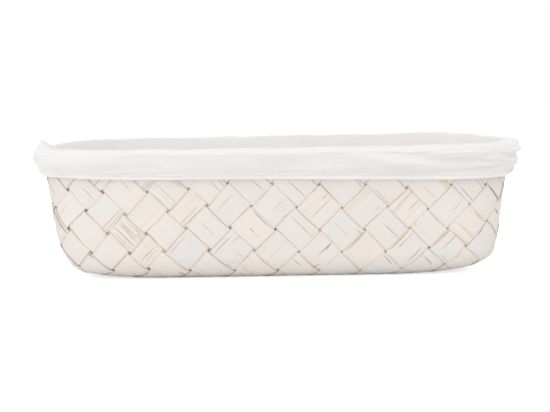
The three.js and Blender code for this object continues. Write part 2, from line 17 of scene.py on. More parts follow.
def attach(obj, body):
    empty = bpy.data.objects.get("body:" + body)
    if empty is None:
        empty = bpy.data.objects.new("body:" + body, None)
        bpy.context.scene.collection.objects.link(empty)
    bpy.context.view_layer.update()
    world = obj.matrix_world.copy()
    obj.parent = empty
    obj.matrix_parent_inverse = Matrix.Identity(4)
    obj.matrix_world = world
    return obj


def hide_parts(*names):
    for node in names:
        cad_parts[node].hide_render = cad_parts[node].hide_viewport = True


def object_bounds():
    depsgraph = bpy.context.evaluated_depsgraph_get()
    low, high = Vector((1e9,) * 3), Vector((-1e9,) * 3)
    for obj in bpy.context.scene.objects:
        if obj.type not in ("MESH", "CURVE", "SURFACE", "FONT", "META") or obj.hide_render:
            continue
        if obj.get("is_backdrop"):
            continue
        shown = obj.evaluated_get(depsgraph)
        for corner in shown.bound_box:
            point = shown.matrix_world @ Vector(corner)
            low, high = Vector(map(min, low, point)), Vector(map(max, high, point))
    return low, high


bl_info = {
    "name": "Lined bamboo tray",
    "version": (1, 0, 0),
    "blender": (4, 5, 0),
    "location": "3D View > Sidebar > Tray",
    "description": "Makes the splints, rim, liner and stage of a plaited bamboo tray",
    "category": "Add Mesh",
}

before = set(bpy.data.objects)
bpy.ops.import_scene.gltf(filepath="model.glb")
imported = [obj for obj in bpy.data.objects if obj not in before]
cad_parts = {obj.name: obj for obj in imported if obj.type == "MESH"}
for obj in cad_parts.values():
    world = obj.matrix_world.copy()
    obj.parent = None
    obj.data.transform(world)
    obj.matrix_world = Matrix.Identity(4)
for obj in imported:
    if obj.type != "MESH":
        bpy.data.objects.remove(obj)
frame_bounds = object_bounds()

# Sizes that the frame was built with, in millimetres and degrees.
LONG_SIDE_COUNT = 10
SHORT_SIDE_COUNT = 6
WEAVE_PITCH = 33.4
WALL_ROWS = 5
RISING_GAP_SHIFTS = [0, -1.5, 2, -2, 1, -1, 0, -0.5, 0.5, -2.5, 0, 1, 1.5, 1.5, 2.5, 5, 0]
FALLING_GAP_SHIFTS = [0, -3, -10, -8, -4.5, -1.5, 0, 1.5, 1, -0.5, 0, 2, -2, 1.5, -2.5, 1, 0]
WALL_FLARE = 10
BASE_EDGE_RADIUS = 22
BASE_SQUARENESS = 8
RIM_SQUARENESS = 4
CORNER_PULL = 3
END_LIFT = 7
LIFT_START = 0.5
WEAVE_HALF_THICKNESS = 0.95
HOOP_HEIGHT = 9
HOOP_LOW = WALL_ROWS * WEAVE_PITCH / 2 + 3.3
WALL_RISE = HOOP_LOW + HOOP_HEIGHT
SPLINT_CUT = WALL_RISE - 0.6
HOOP_FAR = 3.95
TIE_LOW = WALL_ROWS * WEAVE_PITCH / 2 - 0.7
FLOOR_INSET = 20

HALF_PITCH = WEAVE_PITCH / 2
BASE_HALF_LENGTH = LONG_SIDE_COUNT * HALF_PITCH
BASE_HALF_WIDTH = SHORT_SIDE_COUNT * HALF_PITCH
LONG_SIDE = 2 * BASE_HALF_LENGTH
SHORT_SIDE = 2 * BASE_HALF_WIDTH
RING_LENGTH = 2 * (LONG_SIDE + SHORT_SIDE)
GAP_COUNT = 2 * (LONG_SIDE_COUNT + SHORT_SIDE_COUNT)
TURN = math.radians(90 - WALL_FLARE)
MM = 0.001

SIDE_STARTS = np.array([0, LONG_SIDE, LONG_SIDE + SHORT_SIDE, 2 * LONG_SIDE + SHORT_SIDE])
SIDE_LENGTHS = np.array([LONG_SIDE, SHORT_SIDE, LONG_SIDE, SHORT_SIDE])
SIDE_ALONG = np.array([[1, 0], [0, 1], [-1, 0], [0, -1]], float)
SIDE_OUTWARD = np.array([[0, -1], [1, 0], [0, 1], [-1, 0]], float)

# The splints: faces across one and their length, and the seed of their tones.
STRIP_COLUMNS = 12
STRIP_STEP = 2.6
TONE_SEED = 12
# What each side of a gap takes off the splint beside it: place along the tray and width.
GAP_MARGINS = [(-230, 1.9), (0, 1.2), (170, 0.8)]
# How far each end of a splint runs under the cuff, and the shortest stretch that gets cracks and
# fibres.
COVERED_END = 36
SHORTEST_CELL = 14
# Over what length the rows of a splint turn from its slanted cut to straight across it.
CUT_FADE = 55
# Cracks and fibres: points in a line, how deep lines and fibres sit in the splint, the seed of
# the cracks away from the front wall, and the factor for the radii in FRONT_LINES.
LINE_POINTS = 12
LINE_SINK = 0.03
LINE_SEED = 8
FIBRE_SINK = 0.05
FRONT_LINE_WIDENING = 1.25

TIE_COUNT = 12
# From the hoops to the middle of a tie's cane, beside them and above them.
TIE_SPREAD = 0.65

# The liner: the gap between two sewn edges, and the height of the floor panel over the middle of
# the plaiting.
SEAM_GAP = 0.04
CLOTH_FLOOR = 1.4
# How far apart its stations are round the rim and along the seam of the hem, the steps from one
# given point of the inside to the next, and the rows over the rim and down to the hem.
CLOTH_STEP = 2.8
STITCH_STEP = 1.4
INSIDE_STEPS = 4
ROLL_ROWS = 17
CUFF_ROWS = 22
# From the top of the roll over the rim down to where the cloth hangs straight, and how far the
# middle of the roll rises from there.
ROLL_DROP = 3.2
ROLL_HEIGHT = 3.3
# From the hoops to the middle of the cloth over them, and the slow waves of the cuff round the
# rim: how many and how far in and out.
HOOP_STANDOFF = 2.1
CUFF_WAVES = 9
CUFF_WAVE = 0.6
# The least distance of the cuff from the wall below the ties and beside them.
HEM_CLEARANCE = 2.0
TIE_CLEARANCE = 5.4
# What the turned edge adds to half the thickness, and what its rounded end lacks.
HEM_PADDING = 0.45
HEM_ROUNDING = 0.2
# The row of the cloth that the seam of the hem lies on, counted from the edge.
SEAM_ROW = -5

# The simulated slack: the rows of the sides that take part, how many of them are held at each end,
# and the frames.
SLACK_ROWS = (10, 38)
HELD_ROWS = 4
SLACK_FRAMES = 30
# The solver knows no weave, so most of each row is set against it afterwards. The share that hangs
# farthest in, in percent, stands off, by a multiple of the simulated distance and up to a limit.
FOLD_SHARE = 32
FOLD_GAIN = 1.3
FOLD_LIMIT = 4

FLOOR_RINGS = 26
FLOOR_SECTORS = 192
# The mean height of the floor panel's waves.
FLOOR_PUFF = 0.3

# Cracks, split edges and raised fibres on the front wall: the lean (1 rises to the right, -1 to the
# left), the distance round the base edge at the lower end, the rise of both ends, how dark it is
# (0 straw, 1 dark brown) and its radius.
FRONT_LINES = [
    (1, 22, 68, 78, 0.7, 0.16), (-1, 25, 59, 69, 0.5, 0.14), (1, 1, 65, 76, 0.5, 0.16),
    (-1, 54, 68, 76, 0.5, 0.12), (1, 60, 64, 76, 0.55, 0.16), (1, 59, 66, 76, 0.3, 0.14),
    (-1, 89, 58, 73, 0.6, 0.12), (-1, 93, 70, 76, 0.7, 0.14), (1, 79, 48, 59, 0.05, 0.2),
    (1, 89, 39, 55, 0.5, 0.16), (1, 92, 38, 51, 0.2, 0.16), (1, 28, 36, 53, 0.15, 0.22),
    (1, 31, 30, 48, 0.25, 0.25), (1, 29, 33, 51, 0.5, 0.13), (-1, 54, 24, 39, 0.8, 0.2),
    (-1, 57, 27, 41, 0.45, 0.16), (-1, 59, 29, 44, 0.35, 0.16), (-1, 62, 31, 46, 0.3, 0.14),
    (-1, 50, 23, 35, 0.25, 0.18), (-1, 55, 31, 42, 0.5, 0.12), (-1, 63, 35, 47, 0.2, 0.16),
    (1, -7, 47, 53, 0.4, 0.12), (-1, 73, 25, 35, 0.4, 0.2), (1, 81, 18, 32, 0.6, 0.14),
    (1, 58, 12, 24, 0.6, 0.18), (1, 62, 12, 22, 0.15, 0.2), (1, 28, -1, 18, 0.5, 0.16),
    (1, 2, 1, 15, 0.3, 0.14), (-1, 87, 11, 25, 0.3, 0.16), (1, 120, 51, 64, 0.6, 0.13),
    (-1, 124, 66, 75, 0.6, 0.15), (-1, 127, 70, 75, 0.45, 0.14), (-1, 157, 66, 75, 0.7, 0.14),
    (-1, 181, 54, 66, 0.5, 0.18), (-1, 189, 61, 74, 0.8, 0.16), (-1, 209, 61, 74, 0.4, 0.18),
    (1, 202, 59, 63, 0.75, 0.16), (1, 194, 45, 59, 0.55, 0.13), (1, 163, 50, 60, 0.5, 0.12),
    (1, 167, 50, 58, 0.25, 0.1), (1, 170, 49, 56, 0.25, 0.1), (-1, 160, 39, 50, 0.75, 0.2),
    (-1, 149, 34, 38, 0.85, 0.18), (-1, 153, 30, 35, 0.4, 0.1), (-1, 194, 30, 46, 0.55, 0.18),
    (1, 116, 17, 32, 0.8, 0.15), (-1, 145, 22, 34, 0.1, 0.22), (1, 151, -2, 8, 0.4, 0.2),
    (-1, 186, 6, 13, 0.6, 0.17), (1, 188, -4, 8, 0.9, 0.26), (1, 198, 14, 27, 0.85, 0.15),
    (-1, 197, 9, 18, 0.5, 0.16), (-1, 118, 32, 44, 0.5, 0.12), (-1, 235, 66, 74, 0.6, 0.14),
    (-1, 257, 52, 68, 0.1, 0.22), (1, 241, 48, 54, 0.5, 0.1), (-1, 235, 29, 35, 0.85, 0.15),
    (-1, 236, 34, 43, 0.15, 0.22), (-1, 224, 29, 41, 0.5, 0.12), (-1, 262, 28, 40, 0.5, 0.2),
    (1, 262, 20, 31, 0.35, 0.2), (1, 269, 49, 60, 0.6, 0.15), (-1, 272, 64, 73, 0.4, 0.18),
    (-1, 290, 58, 68, 0.45, 0.13), (-1, 323, 52, 66, 0.85, 0.15), (1, 305, 47, 54, 0.5, 0.14),
    (-1, 301, 33, 39, 0.5, 0.13), (1, 272, 34, 44, 0.2, 0.2), (-1, 259, 6, 14, 0.8, 0.17),
    (-1, 268, 8, 18, 0.45, 0.15), (-1, 292, 3, 12, 0.85, 0.18), (-1, 301, 7, 19, 0.4, 0.24),
    (1, 222, 19, 34, 0.45, 0.2), (1, 207, 6, 15, 0.35, 0.2), (1, 204, 19, 24, 0.8, 0.15),
    (1, 297, 16, 29, 0.6, 0.15), (1, 292, 21, 36, 0.1, 0.25), (-1, 332, 61, 70, 0.5, 0.15),
    (-1, 349, 50, 62, 0.55, 0.25), (-1, 324, 22, 37, 0.1, 0.22), (1, 326, 24, 30, 0.1, 0.25),
    (-1, 299, 10, 19, 0.3, 0.2), (-1, 331, 3, 16, 0.5, 0.14), (-1, 333, 34, 45, 0.15, 0.22),
    (1, 291, -1, 7, 0.3, 0.18), (-1, 32, 65, 69, 0.4, 0.12), (-1, 117, 17, 23, 0.3, 0.12),
    (1, -30, 44, 59, 0.3, 0.34), (1, -27, 42, 55, 0.2, 0.28), (-1, -1.5, 29, 48, 0.4, 0.3),
    (-1, -4, 30, 44, 0.2, 0.24), (1, -33, 30, 40, 0.4, 0.22), (-1, -14, 60, 70, 0.4, 0.2),
    (1, 145, -2, 6, 0.3, 0.25), (-1, 96, -9, 2, 0.7, 0.25), (-1, 59, -12, 0, 0.3, 0.22),
    (-1, 17, 12, 17, 0.85, 0.3), (1, -2, 30, 47, 0.4, 0.2), (1, 258, 50, 67, 0.15, 0.22),
    (1, 256, 19, 33, 0.2, 0.22), (1, 270, 9, 20, 0.45, 0.22), (-1, 350, 38, 44, 0.9, 0.28),
    (-1, 10, 26, 40, 0.1, 0.22), (1, 131, 26, 40, 0.1, 0.22), (-1, 134, 14, 23, 0.1, 0.2),
    (-1, 131, 12, 21, 0.05, 0.2), (-1, 138, 16, 24, 0.2, 0.17), (-1, 142, 15, 22, 0.1, 0.2),
    (-1, 127, 10, 17, 0.3, 0.17), (-1, 146, 12, 18, 0.15, 0.18),
]

# Creases of the cuff: around and rise at one end, the same at the other, half width and depth.
# A negative depth makes a ridge.
CUFF_CREASES = [
    (300, 80.5, 352, 82, 1.6, 2.2), (240, 78, 306, 81, 2.0, 1.4), (238, 85, 300, 79, 2.2, 1.5),
    (310, 86, 352, 84, 1.8, 2.0), (268, 88, 316, 92, 2.4, 1.3), (286, 79, 346, 80, 2.0, 2.0),
    (292, 90, 336, 89, 2.2, 1.6), (262, 93, 322, 84, 4.0, 1.8), (186, 78, 268, 81, 2.4, 1.7),
    (214, 95, 286, 84, 5.0, -1.8), (236, 83, 330, 97, 5.0, -1.5), (150, 86, 240, 92, 6.0, 1.2),
    (20, 84, 90, 86, 3.0, 0.9), (-6, 76, -3, 97, 1.8, -2.0), (4, 75, 5, 97, 2.4, 1.5),
    (346, 80, 356, 97, 2.6, 1.2), (336, 89.5, 440, 88, 2.4, 3.2), (340, 76, 400, 78, 1.8, 1.4),
    (1020, 84, 1058, 92, 4.0, 1.2), (985, 95, 1040, 86, 4.0, -1.0), (600, 96, 700, 84, 6.0, 1.0),
    (720, 82, 820, 95, 6.0, -1.0), (450, 96, 520, 82, 5.0, 1.2), (900, 82, 970, 92, 5.0, 1.2),
    (48, 95, 130, 88, 5.0, 0.7), (100, 79, 170, 84, 5.0, -0.7),
]
# How far the hem hangs below its even height: around and drop.
HEM_LEVEL = [
    (0, -1.5), (108, -1.3), (167, -0.5), (250, 1.1), (322, 3.7), (350, 4.2), (440, 2.5), (540, 0.5),
    (868, 0), (980, -0.6), (RING_LENGTH, -1.5),
]
# How far the gathered bulge of the right end stands out: rise and distance.
KNOT_DEPTH = [(68, 4.6), (72, 4.4), (80, 3.6), (86, 1.0), (91, 0)]
# How far the feet of the two ends are moved along the tray: height and distance. This grows from
# FOOT_START off the middle over the length FOOT_REACH.
FOOT_START = 95
FOOT_REACH = 60
LEFT_FOOT = [(0, 0), (2, -1.5), (5, -2.2), (9, 0), (14, 2.2), (20, 2.8), (27, 1.3), (36, 0)]
RIGHT_FOOT = [(4, 0), (9, 0.8), (13, 2.2), (17, 0.8), (21, -0.8), (28, 0)]
# Where the edges are frayed on the front wall: lean, around, rise and how many fibres.
FRAYED_SPOTS = [(-1, 134, 12, 16), (-1, 58, 33, 6), (-1, 300, 12, 5)]
# Puckers over the rim of the back: around, half width and height.
RIM_PUCKERS = [
    (781, 3.5, 1.5), (672, 3.0, 1.3), (645, 2.6, 1.2), (812, 5.0, -0.8), (610, 4.0, -0.7),
]

# Name, place in metres, width and power.
LAMPS = [("front", (-1.5, -1.8, 0.8), 2.4, 9.0), ("top", (0.1, -1.0, 1.9), 1.6, 9.5)]
LAMP_AIM = Vector((0, 0, 0.05))
CAMERA_AIM = Vector((0, 0, 0.048))
# The photo's size in pixels, and the pixel that the camera's axis goes through.
PHOTO_SIZE = (550, 412)
CAMERA_AXIS = (277.0, 202.7)


# ---- Settings


def Length(name, description, default):
    return FloatProperty(name=name, description=description, default=default, unit="LENGTH")


def Angle(name, description, degrees):
    default = math.radians(degrees)
    return FloatProperty(name=name, description=description, default=default, subtype="ANGLE")


def Color(name, description, default):
    return FloatVectorProperty(
        name=name, description=description, default=default, subtype="COLOR", min=0, max=1
    )


class SplintSettings(bpy.types.PropertyGroup):
    thickness: Length("Thickness", "Thickness of a splint", 0.00045)
    wave: Length("Wave", "How far a splint rises over and dips under the others", 0.0004)
    cupping: Length("Cupping", "How far the edges of a splint stand up", 0.00012)
    wash_color: Color("Whitewash", "Colour of the washed bamboo", (0.88, 0.81, 0.755))
    bare_color: Color("Bare bamboo", "Colour where the wash has worn thin", (0.78, 0.56, 0.28))
    edge_color: Color("Split edge", "Colour of the split edges and cracks", (0.36, 0.19, 0.085))


class LinerSettings(bpy.types.PropertyGroup):
    thickness: Length("Thickness", "Thickness of the cotton", 0.0006)
    cuff_drop: Length("Cuff drop", "From the top of the hoops down to the edge of the hem", 0.0204)
    hem_height: Length("Hem height", "Height of the turned edge", 0.0042)
    stitch_spacing: Length("Stitch spacing", "From stitch to stitch along the hem", 0.0026)
    slack: FloatProperty(
        name="Slack", description="How much longer the cloth is than the wall it hangs on",
        default=0.045, subtype="FACTOR",
    )
    bending: FloatProperty(
        name="Bending stiffness", description="How hard the cotton is to fold", default=0.25
    )
    cotton_color: Color("Cotton", "Colour of the cotton", (0.96, 0.932, 0.927))


class FibreSettings(bpy.types.PropertyGroup):
    length: Length("Length", "Usual length of a loose fibre", 0.006)
    width: Length("Width", "Radius of a loose fibre at its root", 0.00013)
    seed: IntProperty(name="Seed", description="Chooses where the loose fibres are", default=4)


class StageSettings(bpy.types.PropertyGroup):
    camera_distance: Length("Camera distance", "From the camera to the middle of the tray", 0.9)
    camera_elevation: Angle("Camera elevation", "Height of the camera over the tray", 5.9628)
    camera_roll: Angle("Camera roll", "Turn of the camera about its own axis", -0.9431)
    lens: FloatProperty(
        name="Lens", description="Focal length for a 36 mm wide sensor", default=68.88, min=1
    )


class TraySettings(bpy.types.PropertyGroup):
    splints: PointerProperty(type=SplintSettings)
    liner: PointerProperty(type=LinerSettings)
    fibres: PointerProperty(type=FibreSettings)
    stage: PointerProperty(type=StageSettings)


# ---- Shape of the tray, in millimetres


def wall_section(rise):
    """How far out from the base edge, how high and how steep the wall is at a distance up."""
    half_turn = TURN / 2
    angle = np.minimum(half_turn + rise / BASE_EDGE_RADIUS, TURN)
    straight = np.maximum(rise - BASE_EDGE_RADIUS * half_turn, 0)
    outward = BASE_EDGE_RADIUS * (np.sin(angle) - math.sin(half_turn)) + straight * math.cos(TURN)
    height = BASE_EDGE_RADIUS * (1 - np.cos(angle)) + straight * math.sin(TURN)
    return outward, height, angle


EDGE_HEIGHT = float(wall_section(0.0)[1])
RIM_HEIGHT = float(wall_section(WALL_RISE)[1])


def outline_point(share, half_along, half_out, squareness):
    """A point of |x/a|^n + |y/b|^n = 1 on one side, by its share of the way along that side."""
    steps = 40
    angles = np.linspace(0, math.pi / 4, steps + 1)

    def reach(angle):
        return (np.sin(angle) ** squareness + np.cos(angle) ** squareness) ** (-1 / squareness)

    a = half_along[:, None] * (reach(angles) * np.sin(angles))
    b = half_out[:, None] * (reach(angles) * np.cos(angles))
    pieces = np.hypot(np.diff(a, axis=1), np.diff(b, axis=1))
    lengths = np.concatenate([np.zeros((len(a), 1)), np.cumsum(pieces, axis=1)], axis=1)
    wanted = np.minimum(np.abs(share), 1) * lengths[:, -1]
    i = np.clip((lengths < wanted[:, None]).sum(axis=1), 1, steps)
    row = np.arange(len(a))
    before = lengths[row, i - 1]
    part = (wanted - before) / (lengths[row, i] - before)
    angle = math.pi / 4 * (i - 1 + part) / steps
    return (
        half_along * reach(angle) * np.sin(angle) * np.sign(share),
        half_out * reach(angle) * np.cos(angle),
    )


def outward_direction(x, y, half_length, half_width, squareness):
    """The outline's normal at a point, and how steeply its formula rises there."""
    slope_x = np.sign(x) * (np.abs(x) / half_length) ** (squareness - 1) / half_length
    slope_y = np.sign(y) * (np.abs(y) / half_width) ** (squareness - 1) / half_width
    size = np.hypot(slope_x, slope_y)
    size[size == 0] = 1
    return slope_x / size, slope_y / size, size


def end_lift(x, height):
    """How far the base rises towards both ends of the tray, less and less up the walls."""
    share = np.maximum(np.abs(x) / BASE_HALF_LENGTH - LIFT_START, 0) / (1 - LIFT_START)
    return END_LIFT * share**2 * np.maximum(1 - height / RIM_HEIGHT, 0)


def level_point(around, outward, height):
    """Points of the outline at some height, by their distance round the base edge, and the
    outward direction there."""
    wrapped = np.mod(around, RING_LENGTH)
    side = np.clip(np.searchsorted(SIDE_STARTS, wrapped, side="right") - 1, 0, 3)
    share = 2 * (wrapped - SIDE_STARTS[side]) / SIDE_LENGTHS[side] - 1
    level = np.maximum((height - EDGE_HEIGHT) / (RIM_HEIGHT - EDGE_HEIGHT), 0)
    half_length = BASE_HALF_LENGTH + outward
    half_width = BASE_HALF_WIDTH + outward
    long_side = side % 2 == 0
    half_along = np.where(long_side, half_length, half_width)
    half_out = np.where(long_side, half_width, half_length)
    parts = []
    for squareness in (BASE_SQUARENESS, RIM_SQUARENESS):
        a, b = outline_point(share, half_along, half_out, squareness)
        x = a * SIDE_ALONG[side, 0] + b * SIDE_OUTWARD[side, 0]
        y = a * SIDE_ALONG[side, 1] + b * SIDE_OUTWARD[side, 1]
        dx, dy, _ = outward_direction(x, y, half_length, half_width, squareness)
        parts.append((x, y, dx, dy))
    x, y, dx, dy = (low + (high - low) * level for low, high in zip(*parts))
    size = np.hypot(dx, dy)
    return x, y, dx / size, dy / size


def on_surface(x, y, height, angle, dx, dy):
    """Points and outward normals, from places in plan, heights and the slope of the surface."""
    z = WEAVE_HALF_THICKNESS + height + end_lift(x, height)
    normal = np.stack([dx * np.sin(angle), dy * np.sin(angle), -np.cos(angle)], axis=-1)
    return np.stack([x, y, z], axis=-1), normal


def wall_place(around, rise):
    """Points of the walls and their outward normals."""
    outward, height, angle = wall_section(rise)
    x, y, dx, dy = level_point(around, outward, height)
    return on_surface(x, y, height, angle, dx, dy)


def base_place(x, y):
    """Points of the base and their downward normals."""
    reach = np.maximum(np.abs(x) / BASE_HALF_LENGTH, np.abs(y) / BASE_HALF_WIDTH)
    safe = np.maximum(reach, 1e-9)
    across = np.stack(
        [x / BASE_HALF_LENGTH * out[0] + y / BASE_HALF_WIDTH * out[1] for out in SIDE_OUTWARD]
    )
    side = np.argmax(across, axis=0)
    along = SIDE_ALONG[side]
    share = (x / BASE_HALF_LENGTH * along[:, 0] + y / BASE_HALF_WIDTH * along[:, 1]) / safe
    long_side = side % 2 == 0
    half_along = np.where(long_side, BASE_HALF_LENGTH, BASE_HALF_WIDTH)
    half_out = np.where(long_side, BASE_HALF_WIDTH, BASE_HALF_LENGTH)
    a, b = outline_point(share, half_along, half_out, BASE_SQUARENESS)
    edge_x = a * along[:, 0] + b * SIDE_OUTWARD[side, 0]
    edge_y = a * along[:, 1] + b * SIDE_OUTWARD[side, 1]
    pull = reach**CORNER_PULL
    px = x + (reach * edge_x - x) * pull
    py = y + (reach * edge_y - y) * pull
    dx, dy, steepness = outward_direction(
        px, py, BASE_HALF_LENGTH, BASE_HALF_WIDTH, BASE_SQUARENESS
    )
    power = (np.abs(px) / BASE_HALF_LENGTH) ** BASE_SQUARENESS
    power += (np.abs(py) / BASE_HALF_WIDTH) ** BASE_SQUARENESS
    gauge = np.maximum(power ** (1 / BASE_SQUARENESS), 1e-9)
    depth = np.where(
        gauge > 0.5, (1 - gauge) / (steepness * gauge ** (1 - BASE_SQUARENESS)), BASE_HALF_WIDTH
    )
    sine = math.sin(TURN / 2) - np.maximum(depth, 0) / BASE_EDGE_RADIUS
    angle = np.arcsin(np.maximum(sine, 0))
    height = BASE_EDGE_RADIUS * (1 - np.cos(angle))
    return on_surface(px, py, height, angle, dx, dy)


def around_and_rise(edge, x, y):
    """Where a point of the plaiting, spread flat, lies on the wall that it leaves the base over."""
    return {
        "front": (x + BASE_HALF_LENGTH, -BASE_HALF_WIDTH - y),
        "right": (LONG_SIDE + y + BASE_HALF_WIDTH, x - BASE_HALF_LENGTH),
        "back": (1.5 * LONG_SIDE + SHORT_SIDE - x, y - BASE_HALF_WIDTH),
        "left": (2 * LONG_SIDE + 1.5 * SHORT_SIDE - y, -BASE_HALF_LENGTH - x),
    }[edge]


def flat_place(edge, around, rise):
    """The reverse of around_and_rise."""
    return {
        "front": (around - BASE_HALF_LENGTH, -BASE_HALF_WIDTH - rise),
        "right": (BASE_HALF_LENGTH + rise, around - LONG_SIDE - BASE_HALF_WIDTH),
        "back": (1.5 * LONG_SIDE + SHORT_SIDE - around, BASE_HALF_WIDTH + rise),
        "left": (-BASE_HALF_LENGTH - rise, 2 * LONG_SIDE + 1.5 * SHORT_SIDE - around),
    }[edge]


def settled(points):
    """Sets the feet of both ends as they stand on the real tray: the left one drawn in above a
    sharp corner, the right one with a low corner that sticks out."""
    points = np.array(points, dtype=float)
    x, z = points[:, 0], points[:, 2]
    for end, foot in ((-x, LEFT_FOOT), (x, RIGHT_FOOT)):
        share = np.clip((end - FOOT_START) / FOOT_REACH, 0, 1)
        points[:, 0] += share**2 * (3 - 2 * share) * np.interp(z, *zip(*foot))
    return points


# ---- Layout of the plaiting


def gap_shift(shifts, gap):
    """How far a gap lies from its even place. The gaps at the corners of the base don't move."""
    corners = (0, SHORT_SIDE_COUNT, LONG_SIDE_COUNT, SHORT_SIDE_COUNT + LONG_SIDE_COUNT)
    return 0 if gap in corners else shifts[gap % len(shifts)]


def base_gap(slope, gap):
    """Where a gap crosses the base, as a distance across the splints beside it."""
    shifts = RISING_GAP_SHIFTS if slope > 0 else FALLING_GAP_SHIFTS
    even = (gap - (LONG_SIDE_COUNT + SHORT_SIDE_COUNT) / 2) * WEAVE_PITCH
    return even + gap_shift(shifts, gap)


def wall_gap(lean, gap):
    """Where a gap that leans right (1) or left (-1) going up leaves the base edge."""
    at = gap % GAP_COUNT
    side = int(np.searchsorted(SIDE_STARTS, at * WEAVE_PITCH + 0.01, side="right")) - 1
    mirrored = GAP_COUNT - SHORT_SIDE_COUNT
    shifts, number, sign = [
        (RISING_GAP_SHIFTS, at + SHORT_SIDE_COUNT, 1),
        (FALLING_GAP_SHIFTS, at, 1),
        (RISING_GAP_SHIFTS, mirrored - at, -1),
        (FALLING_GAP_SHIFTS, GAP_COUNT - at, -1),
        (RISING_GAP_SHIFTS, at - mirrored, 1),
    ][side + (lean > 0)]
    return gap * WEAVE_PITCH + sign * gap_shift(shifts, number)


class SplintCourse:
    """Where one splint runs: its own two edges, the edges of the base that it leaves over, and
    the gaps that it passes, each with the number of half waves up to there."""

    def __init__(self, slope, gap):
        self.slope = slope
        self.own = (base_gap(slope, gap), base_gap(slope, gap + 1))
        cells = []
        for other in range(LONG_SIDE_COUNT + SHORT_SIDE_COUNT):
            own = (gap + 0.5) * WEAVE_PITCH - BASE_HALF_LENGTH - BASE_HALF_WIDTH
            cross = (other + 0.5) * WEAVE_PITCH - BASE_HALF_LENGTH - BASE_HALF_WIDTH
            x, y = (own + cross) / 2, slope * (cross - own) / 2
            if max(abs(x) - BASE_HALF_LENGTH, abs(y) - BASE_HALF_WIDTH) < HALF_PITCH / 2:
                cells.append((x, y, other))
        first, last = cells[0], cells[-1]
        self.edges = (self.edge_at(first), self.edge_at(last))
        row = round((first[1] + BASE_HALF_WIDTH) / HALF_PITCH)
        self.sign = 1 if row % 2 == (0 if slope > 0 else 1) else -1
        gaps = [(base_gap(-slope, cells[0][2]), 0)]
        gaps += [(base_gap(-slope, cell[2] + 1), i + 1) for i, cell in enumerate(cells)]
        gaps = self.wall_gaps(first, -1)[::-1] + gaps
        gaps += [(at, len(cells) + count) for at, count in self.wall_gaps(last, 1)]
        self.gaps = sorted(gaps)

    @staticmethod
    def edge_at(cell):
        """The edge of the base that the outermost cell of a splint lies at."""
        x, y, _ = cell
        if y < HALF_PITCH / 2 - BASE_HALF_WIDTH:
            return "front"
        if x > BASE_HALF_LENGTH - HALF_PITCH / 2:
            return "right"
        return "back" if y > BASE_HALF_WIDTH - HALF_PITCH / 2 else "left"

    def lean(self, end):
        """1 where it leans right going up the wall at one end, seen from outside, or -1."""
        ahead = {"front": 1, "right": self.slope, "back": -1, "left": -self.slope}
        return (1 if end else -1) * ahead[self.edges[end]]

    def wall_gaps(self, cell, direction):
        """The gaps passed on one wall, in order up from the base."""
        x, y, _ = cell
        edge = self.edge_at(cell)
        around, _ = around_and_rise(edge, x, y)
        lean = self.lean(1 if direction > 0 else 0)
        start = round(around / WEAVE_PITCH - 0.5)
        found = []
        for row in range(2, WALL_ROWS + 5):
            crossed = start + row if lean > 0 else start - row + 1
            at = wall_gap(-lean, crossed)
            found.append((self.cross_at(edge, at), direction * (row - 1)))
        return found

    def cross_at(self, edge, at):
        """The place along the splint where it meets a gap, by where that gap starts."""
        s = self.slope
        return {
            "front": at - BASE_HALF_LENGTH - s * BASE_HALF_WIDTH,
            "right": s * (at - LONG_SIDE - BASE_HALF_WIDTH) + BASE_HALF_LENGTH,
            "back": 1.5 * LONG_SIDE + SHORT_SIDE - at + s * BASE_HALF_WIDTH,
            "left": s * (2 * LONG_SIDE + 1.5 * SHORT_SIDE - at) - BASE_HALF_LENGTH,
        }[edge]

    def cut_at(self, end, own):
        """The place along the splint where its edge is cut off under the top of the rim."""
        s = self.slope
        return {
            "front": own - 2 * s * (BASE_HALF_WIDTH + SPLINT_CUT),
            "right": 2 * (BASE_HALF_LENGTH + SPLINT_CUT) - own,
            "back": own + 2 * s * (BASE_HALF_WIDTH + SPLINT_CUT),
            "left": -2 * (BASE_HALF_LENGTH + SPLINT_CUT) - own,
        }[self.edges[end]]

    def place(self, own, cross):
        """Points and normals of the tray's surface on this splint."""
        x, y = (own + cross) / 2, self.slope * (cross - own) / 2
        position, normal = base_place(x, y)
        middle = (self.cut_at(0, own) + self.cut_at(1, own)) / 2
        for end, edge in enumerate(self.edges):
            around, rise = around_and_rise(edge, x, y)
            beyond = (rise > 0) & ((cross > middle) == (end == 1))
            if beyond.any():
                position[beyond], normal[beyond] = wall_place(around[beyond], rise[beyond])
        return position, normal

    def wave(self, cross):
        """From 1 where the splint lies outside to -1 where it lies inside."""
        phase = np.interp(cross, [g[0] for g in self.gaps], [g[1] for g in self.gaps])
        sharpness = 3.0
        return self.sign * np.tanh(sharpness * np.sin(math.pi * phase)) / math.tanh(sharpness)


# ---- Meshes and materials in general


def ripple(u, v, seed, spacing, count=6):
    """A smooth uneven field of about -1 to 1, the same each time."""
    dice = np.random.RandomState(seed)
    total = np.zeros(np.broadcast(u, v).shape)
    for _ in range(count):
        heading = dice.uniform(0, 2 * math.pi)
        length = spacing * dice.uniform(0.6, 1.7)
        phase = dice.uniform(0, 2 * math.pi)
        along = u * math.cos(heading) + v * math.sin(heading)
        total += np.sin(2 * math.pi * along / length + phase)
    return total / math.sqrt(count)


def add_object(name, data):
    """A new object in the scene."""
    made = bpy.data.objects.new(name, data)
    bpy.context.scene.collection.objects.link(made)
    return made


def add_attribute(mesh, name, numbers):
    """A float or vector attribute with a value for each point."""
    numbers = np.asarray(numbers, dtype=np.float32)
    vector = numbers.ndim == 2
    layer = mesh.attributes.new(name, "FLOAT_VECTOR" if vector else "FLOAT", "POINT")
    layer.data.foreach_set("vector" if vector else "value", numbers.ravel())


